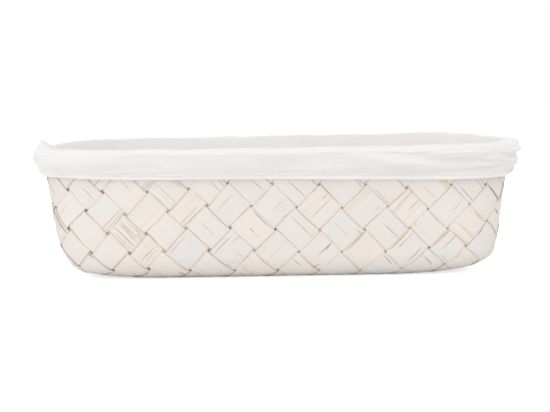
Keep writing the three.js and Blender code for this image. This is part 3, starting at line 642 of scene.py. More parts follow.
def face_outward(mesh):
    """Turns the faces of closed bodies outwards."""
    work = bmesh.new()
    work.from_mesh(mesh)
    bmesh.ops.recalc_face_normals(work, faces=work.faces)
    work.to_mesh(mesh)
    work.free()


def mesh_piece(name, points, faces, material, uvs, values=None):
    """A new object from points and UVs in millimetres, with attributes by point."""
    mesh = bpy.data.meshes.new(name)
    mesh.from_pydata((settled(points) * MM).tolist(), [], faces)
    for attribute, numbers in (values or {}).items():
        add_attribute(mesh, attribute, numbers)
    layer = mesh.uv_layers.new(name="grain")
    corners = np.empty(len(mesh.loops), dtype=np.int32)
    mesh.loops.foreach_get("vertex_index", corners)
    layer.data.foreach_set("uv", (np.asarray(uvs)[corners] * MM).astype(np.float32).ravel())
    mesh.materials.append(material)
    mesh.polygons.foreach_set("use_smooth", [True] * len(mesh.polygons))
    mesh.validate()
    face_outward(mesh)
    mesh.set_sharp_from_angle(angle=math.radians(50))
    return add_object(name, mesh)


def guide_mesh(name, rows, values, closed=False):
    """A wire object in metres through rows of points, with attributes by point."""
    mesh = bpy.data.meshes.new(name)
    points, edges = [], []
    for row in rows:
        first, count = len(points), len(row)
        points += (settled(row) * MM).tolist()
        edges += [(first + i, first + i + 1) for i in range(count - 1)]
        if closed:
            edges.append((first + count - 1, first))
    mesh.from_pydata(points, edges, [])
    for attribute, numbers in values.items():
        add_attribute(mesh, attribute, numbers)
    return add_object(name, mesh)


def ring_faces(rows, ring):
    """Faces of a body through rows of equal closed rings, capped at both ends."""
    faces = []
    for row in range(rows - 1):
        here, after = row * ring, (row + 1) * ring
        for i in range(ring):
            j = (i + 1) % ring
            faces.append((here + i, here + j, after + j, after + i))
    last = (rows - 1) * ring
    for i in range(ring // 2 - 1):
        a, b, c, d = i, i + 1, ring - 2 - i, ring - 1 - i
        faces.append((d, c, b, a))
        faces.append((last + a, last + b, last + c, last + d))
    return faces


class NodeTree:
    """Short ways to add nodes to a tree."""

    def __init__(self, tree):
        self.tree = tree

    def node(self, kind, inputs=None, **settings):
        """A new node. Its inputs, by name or number, are values or outputs of other nodes."""
        made = self.tree.nodes.new(kind)
        for name, value in settings.items():
            setattr(made, name, value)
        for name, value in (inputs or {}).items():
            if isinstance(value, bpy.types.NodeSocket):
                self.tree.links.new(value, made.inputs[name])
            else:
                made.inputs[name].default_value = value
        return made

    def math(self, operation, a, b=0.0):
        return self.node("ShaderNodeMath", {0: a, 1: b}, operation=operation).outputs[0]


class Growth(NodeTree):
    """A geometry node tree with named sizes, which turns a guide object into a plain mesh."""

    def __init__(self, name, **sizes):
        super().__init__(bpy.data.node_groups.new(name, "GeometryNodeTree"))
        self.sizes = sizes
        sockets = self.tree.interface
        sockets.new_socket("Guide", in_out="INPUT", socket_type="NodeSocketGeometry")
        sockets.new_socket("Made", in_out="OUTPUT", socket_type="NodeSocketGeometry")
        self.keys = {}
        for title, size in sizes.items():
            kind = "NodeSocketInt" if isinstance(size, int) else "NodeSocketFloat"
            made = sockets.new_socket(title, in_out="INPUT", socket_type=kind)
            self.keys[title] = made.identifier
        self.given = self.tree.nodes.new("NodeGroupInput").outputs

    def attribute(self, name, kind="FLOAT"):
        inputs = {"Name": name}
        return self.node("GeometryNodeInputNamedAttribute", inputs, data_type=kind).outputs[0]

    def guide_curve(self):
        """The lines of the guide as a curve."""
        return self.node("GeometryNodeMeshToCurve", {"Mesh": self.given["Guide"]}).outputs[0]

    def tube(self, curve, radius, sides):
        """A tube round a curve, with a size or a field for its radius."""
        ring = self.node("GeometryNodeCurvePrimitiveCircle", {"Resolution": sides, "Radius": 1.0})
        made = self.node("GeometryNodeCurveToMesh", {
            "Curve": curve, "Profile Curve": ring.outputs[0], "Scale": radius, "Fill Caps": True,
        })
        return made.outputs[0]

    def close(self, geometry, material):
        """The end of the tree: a plain mesh in one material."""
        plain = self.node("GeometryNodeRealizeInstances", {"Geometry": geometry})
        inputs = {"Geometry": plain.outputs[0], "Material": material}
        done = self.node("GeometryNodeSetMaterial", inputs)
        self.tree.links.new(done.outputs[0], self.tree.nodes.new("NodeGroupOutput").inputs[0])
        return self

    def grow(self, name, guide):
        """The finished piece, in place of its guide."""
        modifier = guide.modifiers.new("growth", "NODES")
        modifier.node_group = self.tree
        for title, key in self.keys.items():
            modifier[key] = self.sizes[title]
        graph = bpy.context.evaluated_depsgraph_get()
        mesh = bpy.data.meshes.new_from_object(
            guide.evaluated_get(graph), preserve_all_data_layers=True, depsgraph=graph
        )
        bpy.data.objects.remove(guide)
        mesh.name = name
        mesh.polygons.foreach_set("use_smooth", [True] * len(mesh.polygons))
        face_outward(mesh)
        if not mesh.polygons:
            raise RuntimeError(f"{name} came out empty")
        return add_object(name, mesh)


class Shading(NodeTree):
    """The node tree of one material, written in short."""

    def __init__(self, name):
        self.material = bpy.data.materials.new(name)
        self.material.use_nodes = True
        super().__init__(self.material.node_tree)
        self.shader = self.tree.nodes["Principled BSDF"]

    def uv(self, scale, offset=(0, 0, 0)):
        source = self.node("ShaderNodeUVMap", uv_map="grain").outputs["UV"]
        return self.mapped(source, scale, offset)

    def place(self, scale, offset=(0, 0, 0)):
        return self.mapped(self.node("ShaderNodeTexCoord").outputs["Object"], scale, offset)

    def mapped(self, source, scale, offset):
        inputs = {"Vector": source, "Scale": scale, "Location": offset}
        return self.node("ShaderNodeMapping", inputs).outputs["Vector"]

    def noise(self, vector, detail, distortion=0.0):
        inputs = {"Vector": vector, "Scale": 1.0, "Detail": detail, "Distortion": distortion}
        return self.node("ShaderNodeTexNoise", inputs).outputs["Fac"]

    def attribute(self, name):
        return self.node("ShaderNodeAttribute", attribute_name=name).outputs["Fac"]

    def ramp(self, value, low, high, to_low=0.0, to_high=1.0):
        inputs = {
            "Value": value, "From Min": low, "From Max": high, "To Min": to_low, "To Max": to_high,
        }
        return self.node("ShaderNodeMapRange", inputs).outputs["Result"]

    def product(self, a, b):
        return self.math("MULTIPLY", a, b)

    def mix(self, share, *colors):
        """A blend of two colours, by the share of the second."""
        inputs = {0: share}
        for number, color in enumerate(colors, 6):
            socket = isinstance(color, bpy.types.NodeSocket)
            inputs[number] = color if socket else (*color[:3], 1)
        return self.node("ShaderNodeMix", inputs, data_type="RGBA").outputs[2]

    def bump(self, height, distance, strength, before=None):
        inputs = {"Height": height, "Distance": distance, "Strength": strength}
        if before is not None:
            inputs["Normal"] = before
        return self.node("ShaderNodeBump", inputs).outputs["Normal"]

    def finish(self, color, roughness, normal=None, **plain):
        """The material, with its colour and normal linked and the other inputs set."""
        self.tree.links.new(color, self.shader.inputs["Base Color"])
        if normal is not None:
            self.tree.links.new(normal, self.shader.inputs["Normal"])
        if isinstance(roughness, bpy.types.NodeSocket):
            self.tree.links.new(roughness, self.shader.inputs["Roughness"])
        else:
            self.shader.inputs["Roughness"].default_value = roughness
        for name, value in plain.items():
            self.shader.inputs[name.replace("_", " ")].default_value = value
        return self.material


# ---- Materials of the tray


def washed_bamboo(settings):
    """Split bamboo under a thin whitewash: fine fibres, warm and cool patches, a few long
    hairlines and split edges that show tan and brown here and there."""
    s = Shading("washed_bamboo")
    fibres = s.noise(s.uv((14, 900, 1)), detail=3)
    streaks = s.noise(s.uv((5, 260, 1), (3, 1, 0)), detail=2)
    patches = s.noise(s.uv((20, 34, 1), (9, 4, 0)), detail=2)
    breaks = s.noise(s.uv((34, 60, 1), (2, 6, 0)), detail=1)
    tone = s.ramp(s.attribute("tone"), 0, 1, 0, 0.6)
    cool = s.math("ADD", s.ramp(patches, 0.35, 0.62, 0, 0.6), tone)
    color = s.mix(cool, settings.wash_color, (0.825, 0.795, 0.775))
    color = s.mix(s.ramp(fibres, 0.45, 0.72, 0, 0.26), color, (0.76, 0.68, 0.60))
    warm = s.product(s.ramp(streaks, 0.60, 0.78, 0, 0.55), s.ramp(breaks, 0.35, 0.6))
    color = s.mix(warm, color, settings.bare_color)
    hairs = s.noise(s.uv((2.5, 420, 1), (4, 2, 0)), detail=0)
    hairs = s.ramp(s.math("ABSOLUTE", s.math("SUBTRACT", hairs, 0.5)), 0.01, 0.05, 1.0, 0.0)
    where = s.ramp(s.noise(s.uv((13, 22, 1), (7, 7, 0)), detail=1), 0.58, 0.68)
    color = s.mix(s.product(s.product(hairs, where), 0.35), color, settings.bare_color)
    edge = s.attribute("edge")
    glow = s.product(s.ramp(edge, 0.90, 0.98), s.ramp(breaks, 0.44, 0.60, 0.05, 0.75))
    color = s.mix(glow, color, settings.bare_color)
    line = s.product(s.ramp(edge, 0.965, 0.99), s.ramp(patches, 0.42, 0.62, 0.10, 0.65))
    color = s.mix(line, color, settings.edge_color)
    normal = s.bump(fibres, 0.0001, 0.7)
    return s.finish(color, s.ramp(fibres, 0.3, 0.7, 0.55, 0.8), normal, Specular_IOR_Level=0.3)


def plain_bamboo():
    """The hoops: unwashed bamboo with its fibres round the rim."""
    s = Shading("plain_bamboo")
    fibres = s.noise(s.place((40, 40, 1400)), detail=3)
    bands = s.noise(s.place((9, 9, 160), (2, 2, 2)), detail=2)
    color = s.mix(s.ramp(fibres, 0.35, 0.7), (0.66, 0.47, 0.26), (0.52, 0.34, 0.17))
    color = s.mix(s.ramp(bands, 0.45, 0.7), color, (0.75, 0.6, 0.4))
    return s.finish(color, s.ramp(fibres, 0.3, 0.7, 0.4, 0.6), s.bump(fibres, 0.0002, 0.6))


def split_cane():
    """The ties: glossy cane with fine ribs."""
    s = Shading("split_cane")
    fibres = s.noise(s.place((900, 900, 60)), detail=2)
    spots = s.noise(s.place((150, 150, 150)), detail=2)
    color = s.mix(s.ramp(fibres, 0.35, 0.7), (0.58, 0.38, 0.18), (0.44, 0.26, 0.11))
    color = s.mix(s.ramp(spots, 0.55, 0.75), color, (0.30, 0.17, 0.07))
    return s.finish(color, s.ramp(spots, 0.3, 0.7, 0.35, 0.5), s.bump(fibres, 0.0001, 0.5))


def cotton_cloth(settings):
    """Plain woven cotton: threads both ways, slubs and small creases."""
    s = Shading("cotton_cloth")
    thread = {"wave_type": "BANDS", "wave_profile": "SIN"}
    inputs = {"Vector": s.uv((1, 1, 1)), "Scale": 520.0, "Distortion": 0.6, "Detail": 1.0}
    warp = s.node("ShaderNodeTexWave", inputs, bands_direction="X", **thread)
    weft = s.node("ShaderNodeTexWave", inputs, bands_direction="Y", **thread)
    weave = s.product(warp.outputs["Fac"], weft.outputs["Fac"])
    slubs = s.noise(s.uv((60, 900, 1)), detail=2)
    creases = s.noise(s.uv((70, 45, 1), (3, 8, 0)), detail=3, distortion=0.6)
    soft = s.noise(s.uv((22, 14, 1), (6, 2, 0)), detail=2)
    color = s.mix(s.ramp(weave, 0.0, 0.6, 0.10, 0.0), settings.cotton_color, (0.70, 0.68, 0.68))
    color = s.mix(s.ramp(slubs, 0.5, 0.8, 0.0, 0.18), color, (0.79, 0.77, 0.76))
    color = s.mix(s.ramp(soft, 0.35, 0.7, 0.0, 0.20), color, (0.86, 0.85, 0.85))
    normal = s.bump(soft, 0.0012, 0.5)
    normal = s.bump(creases, 0.0006, 0.5, normal)
    normal = s.bump(weave, 0.00008, 0.6, normal)
    return s.finish(
        color, 0.9, normal, Specular_IOR_Level=0.2, Sheen_Weight=0.15, Sheen_Roughness=0.5,
        Subsurface_Weight=0.4, Subsurface_Scale=0.002, Subsurface_Radius=(1, 1, 1),
    )


def cotton_thread():
    """The thread of the hem's seam."""
    s = Shading("cotton_thread")
    twist = s.noise(s.place((2500, 2500, 2500)), detail=1)
    color = s.mix(s.ramp(twist, 0.35, 0.65), (0.80, 0.80, 0.80), (0.68, 0.68, 0.69))
    return s.finish(color, 0.85, s.bump(twist, 0.00005, 0.5), Specular_IOR_Level=0.2)


def raised_line():
    """Cracks and raised fibres, from straw to dark brown by their own attribute."""
    s = Shading("raised_line")
    shade = s.noise(s.place((180, 180, 180)), detail=2)
    dark = s.math("ADD", s.attribute("dark"), s.ramp(shade, 0.35, 0.65, -0.2, 0.2))
    color = s.mix(s.ramp(dark, 0.0, 0.45), (0.76, 0.58, 0.36), (0.55, 0.33, 0.15))
    color = s.mix(s.ramp(dark, 0.45, 1.0), color, (0.22, 0.10, 0.05))
    return s.finish(color, 0.75, Specular_IOR_Level=0.2)


def loose_fibre():
    """Splinters off the split edges, straw to brown."""
    s = Shading("loose_fibre")
    shade = s.noise(s.place((260, 260, 260)), detail=2)
    color = s.mix(s.ramp(shade, 0.4, 0.6), (0.80, 0.66, 0.46), (0.42, 0.23, 0.09))
    return s.finish(color, 0.7)


# ---- Pieces


def strip_edges(number, course, along):
    """Where the two long edges of a splint lie across it, by the place along it. The gaps are
    wider towards the left end of the tray."""
    margin = np.interp((sum(course.own) / 2 + along) / 2, *zip(*GAP_MARGINS))
    wander = [
        np.clip(ripple(along, number * 37.0 + side * 11, 5 + side, 46, 5), -1.2, 1.2)
        for side in (0, 1)
    ]
    return course.own[0] + margin + 0.5 * wander[0], course.own[1] - margin - 0.5 * wander[1]


def strip_lift(course, number, cross, t, normal, settings):
    """How far the middle of a splint's thickness lies outside the tray's surface. On the base the
    splints reach down to the table."""
    wave = course.wave(cross)
    lift = settings.wave / MM * wave + settings.cupping / MM * wave * (t**2 - 0.35)
    lift += 0.07 * ripple(cross, number * 53.0, 31, 24, 4) * t
    return lift + 0.22 * np.clip(-normal[..., 2], 0, 1) ** 6


def strip_body(course, number, settings):
    """Points, faces and UVs of one splint, and how near each point is to its long edges (0 in
    the middle, 1 at an edge)."""
    columns = STRIP_COLUMNS
    cut = np.array([[course.cut_at(end, own) for own in course.own] for end in (0, 1)])
    start, stop = cut[0].mean(), cut[1].mean()
    rows = int(round((stop - start) / math.sqrt(2) / STRIP_STEP))
    u, t = np.meshgrid(
        np.linspace(start, stop, rows + 1), np.linspace(-1, 1, columns + 1), indexing="ij"
    )
    low, high = strip_edges(number, course, u)
    own = (low + high) / 2 + (high - low) / 2 * t
    middle = sum(course.own) / 2
    lean = (cut[:, 1] - cut[:, 0]) / (course.own[1] - course.own[0])
    near = [np.clip(1 - np.abs(u - at) / CUT_FADE, 0, 1) for at in (start, stop)]
    cross = u + (own - middle) * (lean[0] * near[0] + lean[1] * near[1])
    position, normal = course.place(own.ravel(), cross.ravel())
    shape = (rows + 1, columns + 1, 3)
    position, normal = position.reshape(shape), normal.reshape(shape)
    lift = strip_lift(course, number, cross, t, normal, settings)
    half = settings.thickness / MM / 2 * (1 - 0.45 * np.abs(t) ** 6)
    outer = position + normal * (lift + half)[..., None]
    inner = position + normal * (lift - half)[..., None]
    rings = np.concatenate([outer, inner[:, ::-1]], axis=1)
    # Each splint, and each of its sides, has a patch of the grain of its own.
    flat_u = cross / math.sqrt(2) + number * 613.0
    flat_v = (own - middle) / math.sqrt(2) + number * 47.0
    uv_outer = np.stack([flat_u, flat_v], axis=-1)
    uv_inner = np.stack([flat_u + 91, flat_v + 19], axis=-1)
    uvs = np.concatenate([uv_outer, uv_inner[:, ::-1]], axis=1).reshape(-1, 2)
    edge = np.abs(np.concatenate([t, t[:, ::-1]], axis=1)).ravel()
    return rings.reshape(-1, 3), ring_faces(rows + 1, 2 * (columns + 1)), uvs, edge


def courses():
    """Name, course and number of every splint."""
    found = []
    for gap in range(LONG_SIDE_COUNT + SHORT_SIDE_COUNT):
        for slope, direction in ((1, "rising"), (-1, "falling")):
            course = SplintCourse(slope, gap)
            found.append((f"{direction}_{gap + 1:02d}", course, len(found) + 1))
    return found


def splint_at(found, lean, around, rise):
    """The splint of one lean that covers a point of the walls, with its number, the places of the
    point across and along it, and which of its ends is there."""
    for _, course, number in found:
        for end, edge in enumerate(course.edges):
            for turns in (-1, 0, 1):
                x, y = flat_place(edge, around + turns * RING_LENGTH, rise)
                own = x - course.slope * y
                if course.lean(end) == lean and course.own[0] < own < course.own[1]:
                    return course, number, own, x + course.slope * y, end
    return None


def on_strip(course, number, own, cross, above, settings):
    """Points over the outer face of a splint, and the outward normals there."""
    low, high = strip_edges(number, course, cross)
    t = np.clip((own - (low + high) / 2) / ((high - low) / 2), -1, 1)
    own = (low + high) / 2 + (high - low) / 2 * t
    position, normal = course.place(own, cross)
    lift = strip_lift(course, number, cross, t, normal, settings)
    lift += settings.thickness / MM / 2 + above
    return position + normal * lift[:, None], normal


def visible_cells(course):
    """The stretches of a splint that lie outside the ones that they cross, below the hem."""
    middle = sum(course.own) / 2
    first = course.cut_at(0, middle) + COVERED_END
    last = course.cut_at(1, middle) - COVERED_END
    for (low, count), (high, _) in zip(course.gaps, course.gaps[1:]):
        low, high = max(low, first), min(high, last)
        if course.sign * (-1) ** count > 0 and high - low > SHORTEST_CELL:
            yield low, high


def split_lines(settings, seed):
    """Rows of points for the cracks and raised fibres: those seen on the front wall, and others
    spread over the rest, each with how dark it is and its radius."""
    dice = np.random.RandomState(seed)
    found = courses()
    lines = []
    for lean, around, low, high, dark, radius in FRONT_LINES:
        rise = (low + high) / 2
        splint = splint_at(found, lean, around + lean * (rise - low), rise)
        if splint is None:
            continue
        course, number, own, cross, end = splint
        along = cross + (1 if end else -1) * np.linspace(low - high, high - low, LINE_POINTS)
        across = own + 0.25 * ripple(along, own, 3, 30, 3)
        points, _ = on_strip(course, number, across, along, -LINE_SINK, settings)
        lines.append((points, dark, FRONT_LINE_WIDENING * radius))
    for _, course, number in found:
        for low, high in visible_cells(course):
            for _ in range(dice.choice([0, 1, 1, 2])):
                own = dice.uniform(*course.own)
                start = low + 3 + (high - low) * 0.45 * dice.uniform() ** 2
                stop = high - 3 - (high - low) * 0.45 * dice.uniform() ** 2
                along = np.linspace(start, stop, LINE_POINTS)
                across = own + 0.3 * ripple(along, own, 3, 30, 3)
                points, normal = on_strip(course, number, across, along, -LINE_SINK, settings)
                dark, radius = dice.uniform(0.1, 0.95), dice.uniform(0.08, 0.2)
                # Those of the front wall are in FRONT_LINES, and none lies under the base.
                front = normal[LINE_POINTS // 2][1] <= -0.6
                if not front and abs(points[:, 2]).min() > 1:
                    lines.append((points, dark, radius))
    return lines


def frayed_places(settings, seed):
    """Places along split edges where a fibre stands off, its direction and its relative size."""
    dice = np.random.RandomState(seed)
    found = courses()
    points, headings, sizes = [], [], []

    def add(course, number, own, cross, size):
        across, ahead = np.array([own, own]), np.array([cross, cross + 1.0])
        place, normal = on_strip(course, number, across, ahead, -FIBRE_SINK, settings)
        if normal[0][2] < -0.6:
            return
        along = (place[1] - place[0]) * dice.choice([-1, 1])
        heading = along / np.linalg.norm(along) + normal[0] * dice.uniform(0.08, 0.4)
        heading += np.cross(along, normal[0]) * dice.uniform(-0.3, 0.3)
        points.append(place[0])
        headings.append(heading / np.linalg.norm(heading))
        sizes.append(size)

    for _, course, number in found:
        for low, high in visible_cells(course):
            if dice.uniform() < 0.55:
                own = course.own[dice.randint(2)] + dice.uniform(-2, 2)
                add(course, number, own, dice.uniform(low + 4, high - 4), dice.uniform(0.25, 0.9))
    for lean, around, rise, count in FRAYED_SPOTS:
        for _ in range(count):
            a, r = around + dice.uniform(-9, 9), rise + dice.uniform(-5, 5)
            splint = splint_at(found, lean, a, r)
            if splint:
                add(*splint[:4], dice.uniform(0.5, 1.3))
    return points, headings, sizes


def tie_holes():
    """The holes of the plaiting that the ties go through, as distance round and rise."""

    def place(hole):
        right, left = wall_gap(1, hole), wall_gap(-1, hole + WALL_ROWS)
        return (left + right) / 2, (left - right) / 2

    fits = [i for i in range(GAP_COUNT) if TIE_LOW <= place(i)[1] - 0.4 <= TIE_LOW + 2.9]
    even = [i * GAP_COUNT / TIE_COUNT for i in range(TIE_COUNT)]
    return [place(min(fits, key=lambda hole, at=at: abs(hole - at))) for at in even]


def tie_path(around, rise):
    """Two turns of cane round both hoops, through one hole."""
    far, top = HOOP_FAR + TIE_SPREAD, WALL_RISE + TIE_SPREAD
    corners = [(rise, far), (top, far), (top, -far), (rise, -far)]
    places = np.array([
        (around - 0.3 + 0.3 * (turn + i / 4), *corner)
        for turn in range(2) for i, corner in enumerate(corners)
    ])
    position, normal = wall_place(places[:, 0], places[:, 1])
    return position + normal * places[:, 2:]


def ring_ripple(around, rise, seed, spacing):
    """An uneven field of about -1 to 1 round the tray, which meets itself after one turn."""
    dice = np.random.RandomState(seed)
    total = np.zeros(np.broadcast(around, rise).shape)
    count = 6
    for _ in range(count):
        turns = max(1, round(RING_LENGTH / (spacing * dice.uniform(0.6, 1.7))))
        lean = dice.uniform(-1, 1) / spacing
        phase = dice.uniform(0, 2 * math.pi)
        total += np.sin(2 * math.pi * (turns * around / RING_LENGTH + lean * rise) + phase)
    return total / math.sqrt(count)


def ring_wave(around, turns, shift=0.0):
    return np.sin(2 * math.pi * turns * around / RING_LENGTH + shift)


def ring_distance(around, middle):
    """How far ahead of one place round the tray others lie, the short way."""
    return np.mod(around - middle + RING_LENGTH / 2, RING_LENGTH) - RING_LENGTH / 2


def ring_bump(around, middle, width):
    """1 at one place round the tray, falling off to both sides."""
    return np.exp(-((ring_distance(around, middle) / width) ** 2))


def creased(around, rise):
    """How far the creases and ridges of the cuff move its cloth outwards."""
    total = np.zeros(len(around))
    for a0, r0, a1, r1, width, depth in CUFF_CREASES:
        x = ring_distance(around, (a0 + a1) / 2) + (a1 - a0) / 2
        y = rise - r0
        size = math.hypot(a1 - a0, r1 - r0)
        ahead = (x * (a1 - a0) + y * (r1 - r0)) / size
        aside = (y * (a1 - a0) - x * (r1 - r0)) / size
        ends = np.clip(ahead / 14, 0, 1) * np.clip((size - ahead) / 14, 0, 1)
        beside = 0.5 * np.exp(-(((aside - 1.9 * width) / width) ** 2))
        total -= depth * ends * (np.exp(-((aside / width) ** 2)) - beside)
    return total


class SheetLine:
    """The middle line of the cloth at some places round the rim, from the floor seam up the
    inside, over the rim and down to the hem. Each of its rows holds distances out from the base
    edge and heights, and has half the thickness of the cloth there."""

    def __init__(self, around, settings):
        self.around = around
        self.thin = settings.thickness / MM / 2
        self.far = HOOP_FAR + HOOP_STANDOFF
        # The pinched fold that stands up at the left end, the gathered bulge at the right end and
        # the puckers of the back.
        self.ear = ring_bump(around, RING_LENGTH - 60, 10)
        self.knot = ring_bump(around, LONG_SIDE + 96, 56)
        self.pucker = sum(high * ring_bump(around, at, wide) for at, wide, high in RIM_PUCKERS)
        self.proud = 0.2 * self.ear - 2.2 * self.knot
        top = WALL_RISE + HOOP_STANDOFF + 0.35 * ring_ripple(around, 0, 51, 55)
        top += 2.4 * ring_bump(around, LONG_SIDE + 56, 34)
        top += 1.5 * ring_bump(around, 545, 30) - 0.6 * ring_bump(around, 768, 50)
        self.top = np.maximum(top, WALL_RISE + 1.5)
        cuff, halves = self.cuff(settings)
        above = np.concatenate([self.inside(), self.roll()])
        self.rows = np.concatenate([above, cuff])
        self.half = np.concatenate([np.full(len(above), self.thin), halves])

    def on_wall(self, rise, offset):
        """Points at some rise, and some way out from the middle of the wall."""
        outward, height, angle = wall_section(rise * np.ones(len(self.around)))
        return np.stack([outward + offset * np.sin(angle), height - offset * np.cos(angle)], -1)

    def inside(self):
        """Up the inside, from the floor seam to the roll over the rim."""

        def plain(outward, height):
            return np.tile([outward, height], (len(self.around), 1)).astype(float)

        slack = 1.45 + 0.1 * ring_ripple(self.around, 0, 17, 60)
        bulge = 0.5 * ring_ripple(self.around, 50, 19, 44)
        return through(np.stack([
            plain(SEAM_GAP / 2 - FLOOR_INSET, CLOTH_FLOOR),
            plain(-13, 1.8),
            plain(-7.4, 2.9),
            plain(-3.4, 4.9),
            self.on_wall(3, -slack - 0.5),
            self.on_wall(HALF_PITCH, -slack),
            self.on_wall(2 * HALF_PITCH, -slack - 0.1),
            self.on_wall(3 * HALF_PITCH, -slack),
            self.on_wall(HOOP_LOW - 11.5, -slack - 0.5),
            self.on_wall(HOOP_LOW - 5.4, -self.far - 0.2 - bulge),
            self.on_wall(self.top - ROLL_DROP, -self.far - 0.3 - self.pucker),
        ]), INSIDE_STEPS)

    def roll(self):
        """Over the rim, from inside to outside."""
        ear = self.ear
        fold = CUFF_WAVE + CUFF_WAVE * ring_wave(self.around, CUFF_WAVES)
        outer = np.maximum(self.far + fold + self.proud, TIE_CLEARANCE)
        rows = []
        for angle in np.linspace(math.radians(80), math.radians(-80), ROLL_ROWS):
            side = np.sign(angle) * np.abs(np.sin(angle)) ** (2 / 3)
            up = np.cos(angle) ** (2 / 3)
            reach = self.far + 0.3 + self.pucker if side > 0 else outer
            reach = reach * (1 - 0.85 * ear * up**1.5)
            lift = (ROLL_HEIGHT + 6.5 * ear) * up ** (1 + 0.8 * ear)
            rows.append(self.on_wall(self.top - ROLL_DROP + lift, -side * reach))
        return rows

    def cuff(self, settings):
        """Down the outside to the edge of the hem, with half the thickness of each row."""
        around, far, thin = self.around, self.far, self.thin
        hem = settings.hem_height / MM
        start = self.top - ROLL_DROP
        low = WALL_RISE - (settings.cuff_drop / MM + np.interp(around, *zip(*HEM_LEVEL)))
        body = start - (low + hem + 0.5)
        turned = thin + HEM_PADDING
        rises = [(start - body * share, thin) for share in np.linspace(0, 1, CUFF_ROWS)]
        rises += [(low + hem + 0.22, thin), (low + hem, turned), (low + hem - 0.25, turned)]
        rises += [(low + hem * part, turned) for part in (0.8, 0.45, 0.18, 0.05)]
        rises += [(low, thin - HEM_ROUNDING)]
        rows = []
        for rise, _ in rises:
            share = (start - rise) / (start - low)
            wave = CUFF_WAVE + CUFF_WAVE * ring_wave(around, CUFF_WAVES, 3 * share)
            belly = 1.5 * np.sin(math.pi * np.minimum(share / 0.85, 1))
            offset = far + (2.5 - far) * share**1.3 + belly + wave * (1 - 0.6 * share)
            creases = creased(around, rise) * np.clip(1.25 - share, 0, 1)
            offset += creases + self.proud * (1 - share) ** 1.5
            offset += self.knot * np.interp(rise, *zip(*KNOT_DEPTH))
            offset += 0.30 * ring_ripple(around, rise, 23, 34) * np.minimum(1, 0.3 + share)
            gathers = np.exp(-(((rise - low - hem) / 1.6) ** 2))
            offset += 0.16 * gathers * ring_ripple(around, rise * 0.2, 29, 7)
            least = np.interp(rise, (TIE_LOW - 3, TIE_LOW), (HEM_CLEARANCE, TIE_CLEARANCE))
            rows.append(self.on_wall(rise, np.maximum(offset, least)))
        return rows, [half for _, half in rises]


def through(points, steps):
    """A smooth line through a row of points, with a number of steps from one to the next."""
    line = []
    for i in range(len(points) - 1):
        before, after = points[max(i - 1, 0)], points[min(i + 2, len(points) - 1)]
        a, b = points[i], points[i + 1]
        for step in range(steps):
            t = step / steps
            line.append(0.5 * (
                2 * a + (b - before) * t + (2 * before - 5 * a + 4 * b - after) * t**2
                + (3 * a - before - 3 * b + after) * t**3
            ))
    line.append(points[-1])
    return np.stack(line)


def section_points(around, line):
    """Points of the tray for distances out from the base edge and heights, row by row."""
    rows = []
    for place in line:
        outward, height = place[:, 0], place[:, 1]
        x, y, _, _ = level_point(around, outward, height)
        rows.append(np.stack([x, y, WEAVE_HALF_THICKNESS + height + end_lift(x, height)], axis=-1))
    return np.stack(rows, axis=1)


def sideways(step):
    """The direction to one side of steps along the cloth's line."""
    step = step / np.linalg.norm(step, axis=-1, keepdims=True)
    return np.stack([-step[..., 1], step[..., 0]], axis=-1)


def cloth_skins(around, settings):
    """Both skins of the cloth along one stretch of the rim, and its middle."""
    line = SheetLine(around, settings)
    side = sideways(np.gradient(line.rows, axis=0)) * line.half[:, None, None]
    return [section_points(around, line.rows + shift) for shift in (side, -side, 0)]


def side_stations(low, high):
    """The places along one side piece, from seam to seam."""
    count = int((high - low) / CLOTH_STEP)
    return np.linspace(low + SEAM_GAP / 2, high - SEAM_GAP / 2, count + 1)


def hung_cloth(middle, settings):
    """Where rows of points up the cloth come to rest when it hangs slack. The rows make a closed
    ring, held at its lower and upper edge."""
    count, rows = middle.shape[:2]
    grid = np.arange(count * rows).reshape(count, rows)
    after = np.roll(grid, -1, axis=0)
    faces = np.stack([grid[:, :-1], after[:, :-1], after[:, 1:], grid[:, 1:]], axis=-1)
    mesh = bpy.data.meshes.new("slack_cloth")
    mesh.from_pydata((middle.reshape(-1, 3) * MM).tolist(), [], faces.reshape(-1, 4).tolist())
    sheet = add_object("slack_cloth", mesh)
    held = sheet.vertex_groups.new(name="held")
    for edge in (grid[:, :HELD_ROWS], grid[:, -HELD_ROWS:]):
        held.add(edge.ravel().tolist(), 1.0, "REPLACE")
    cloth = sheet.modifiers.new("cloth", "CLOTH")
    cloth.settings.quality = 7
    cloth.settings.mass = 0.12
    cloth.settings.tension_stiffness = 12
    cloth.settings.compression_stiffness = 12
    cloth.settings.shear_stiffness = 4
    cloth.settings.bending_stiffness = settings.bending
    cloth.settings.vertex_group_mass = "held"
    cloth.settings.shrink_min = cloth.settings.shrink_max = -settings.slack
    cloth.collision_settings.use_collision = False
    cloth.point_cache.frame_end = SLACK_FRAMES + 1
    scene = bpy.context.scene
    for step in range(1, SLACK_FRAMES + 1):
        scene.frame_set(step)
    hung = sheet.evaluated_get(bpy.context.evaluated_depsgraph_get()).data
    places = np.empty(count * rows * 3)
    hung.vertices.foreach_get("co", places)
    bpy.data.objects.remove(sheet)
    scene.frame_set(1)
    return places.reshape(count, rows, 3) / MM


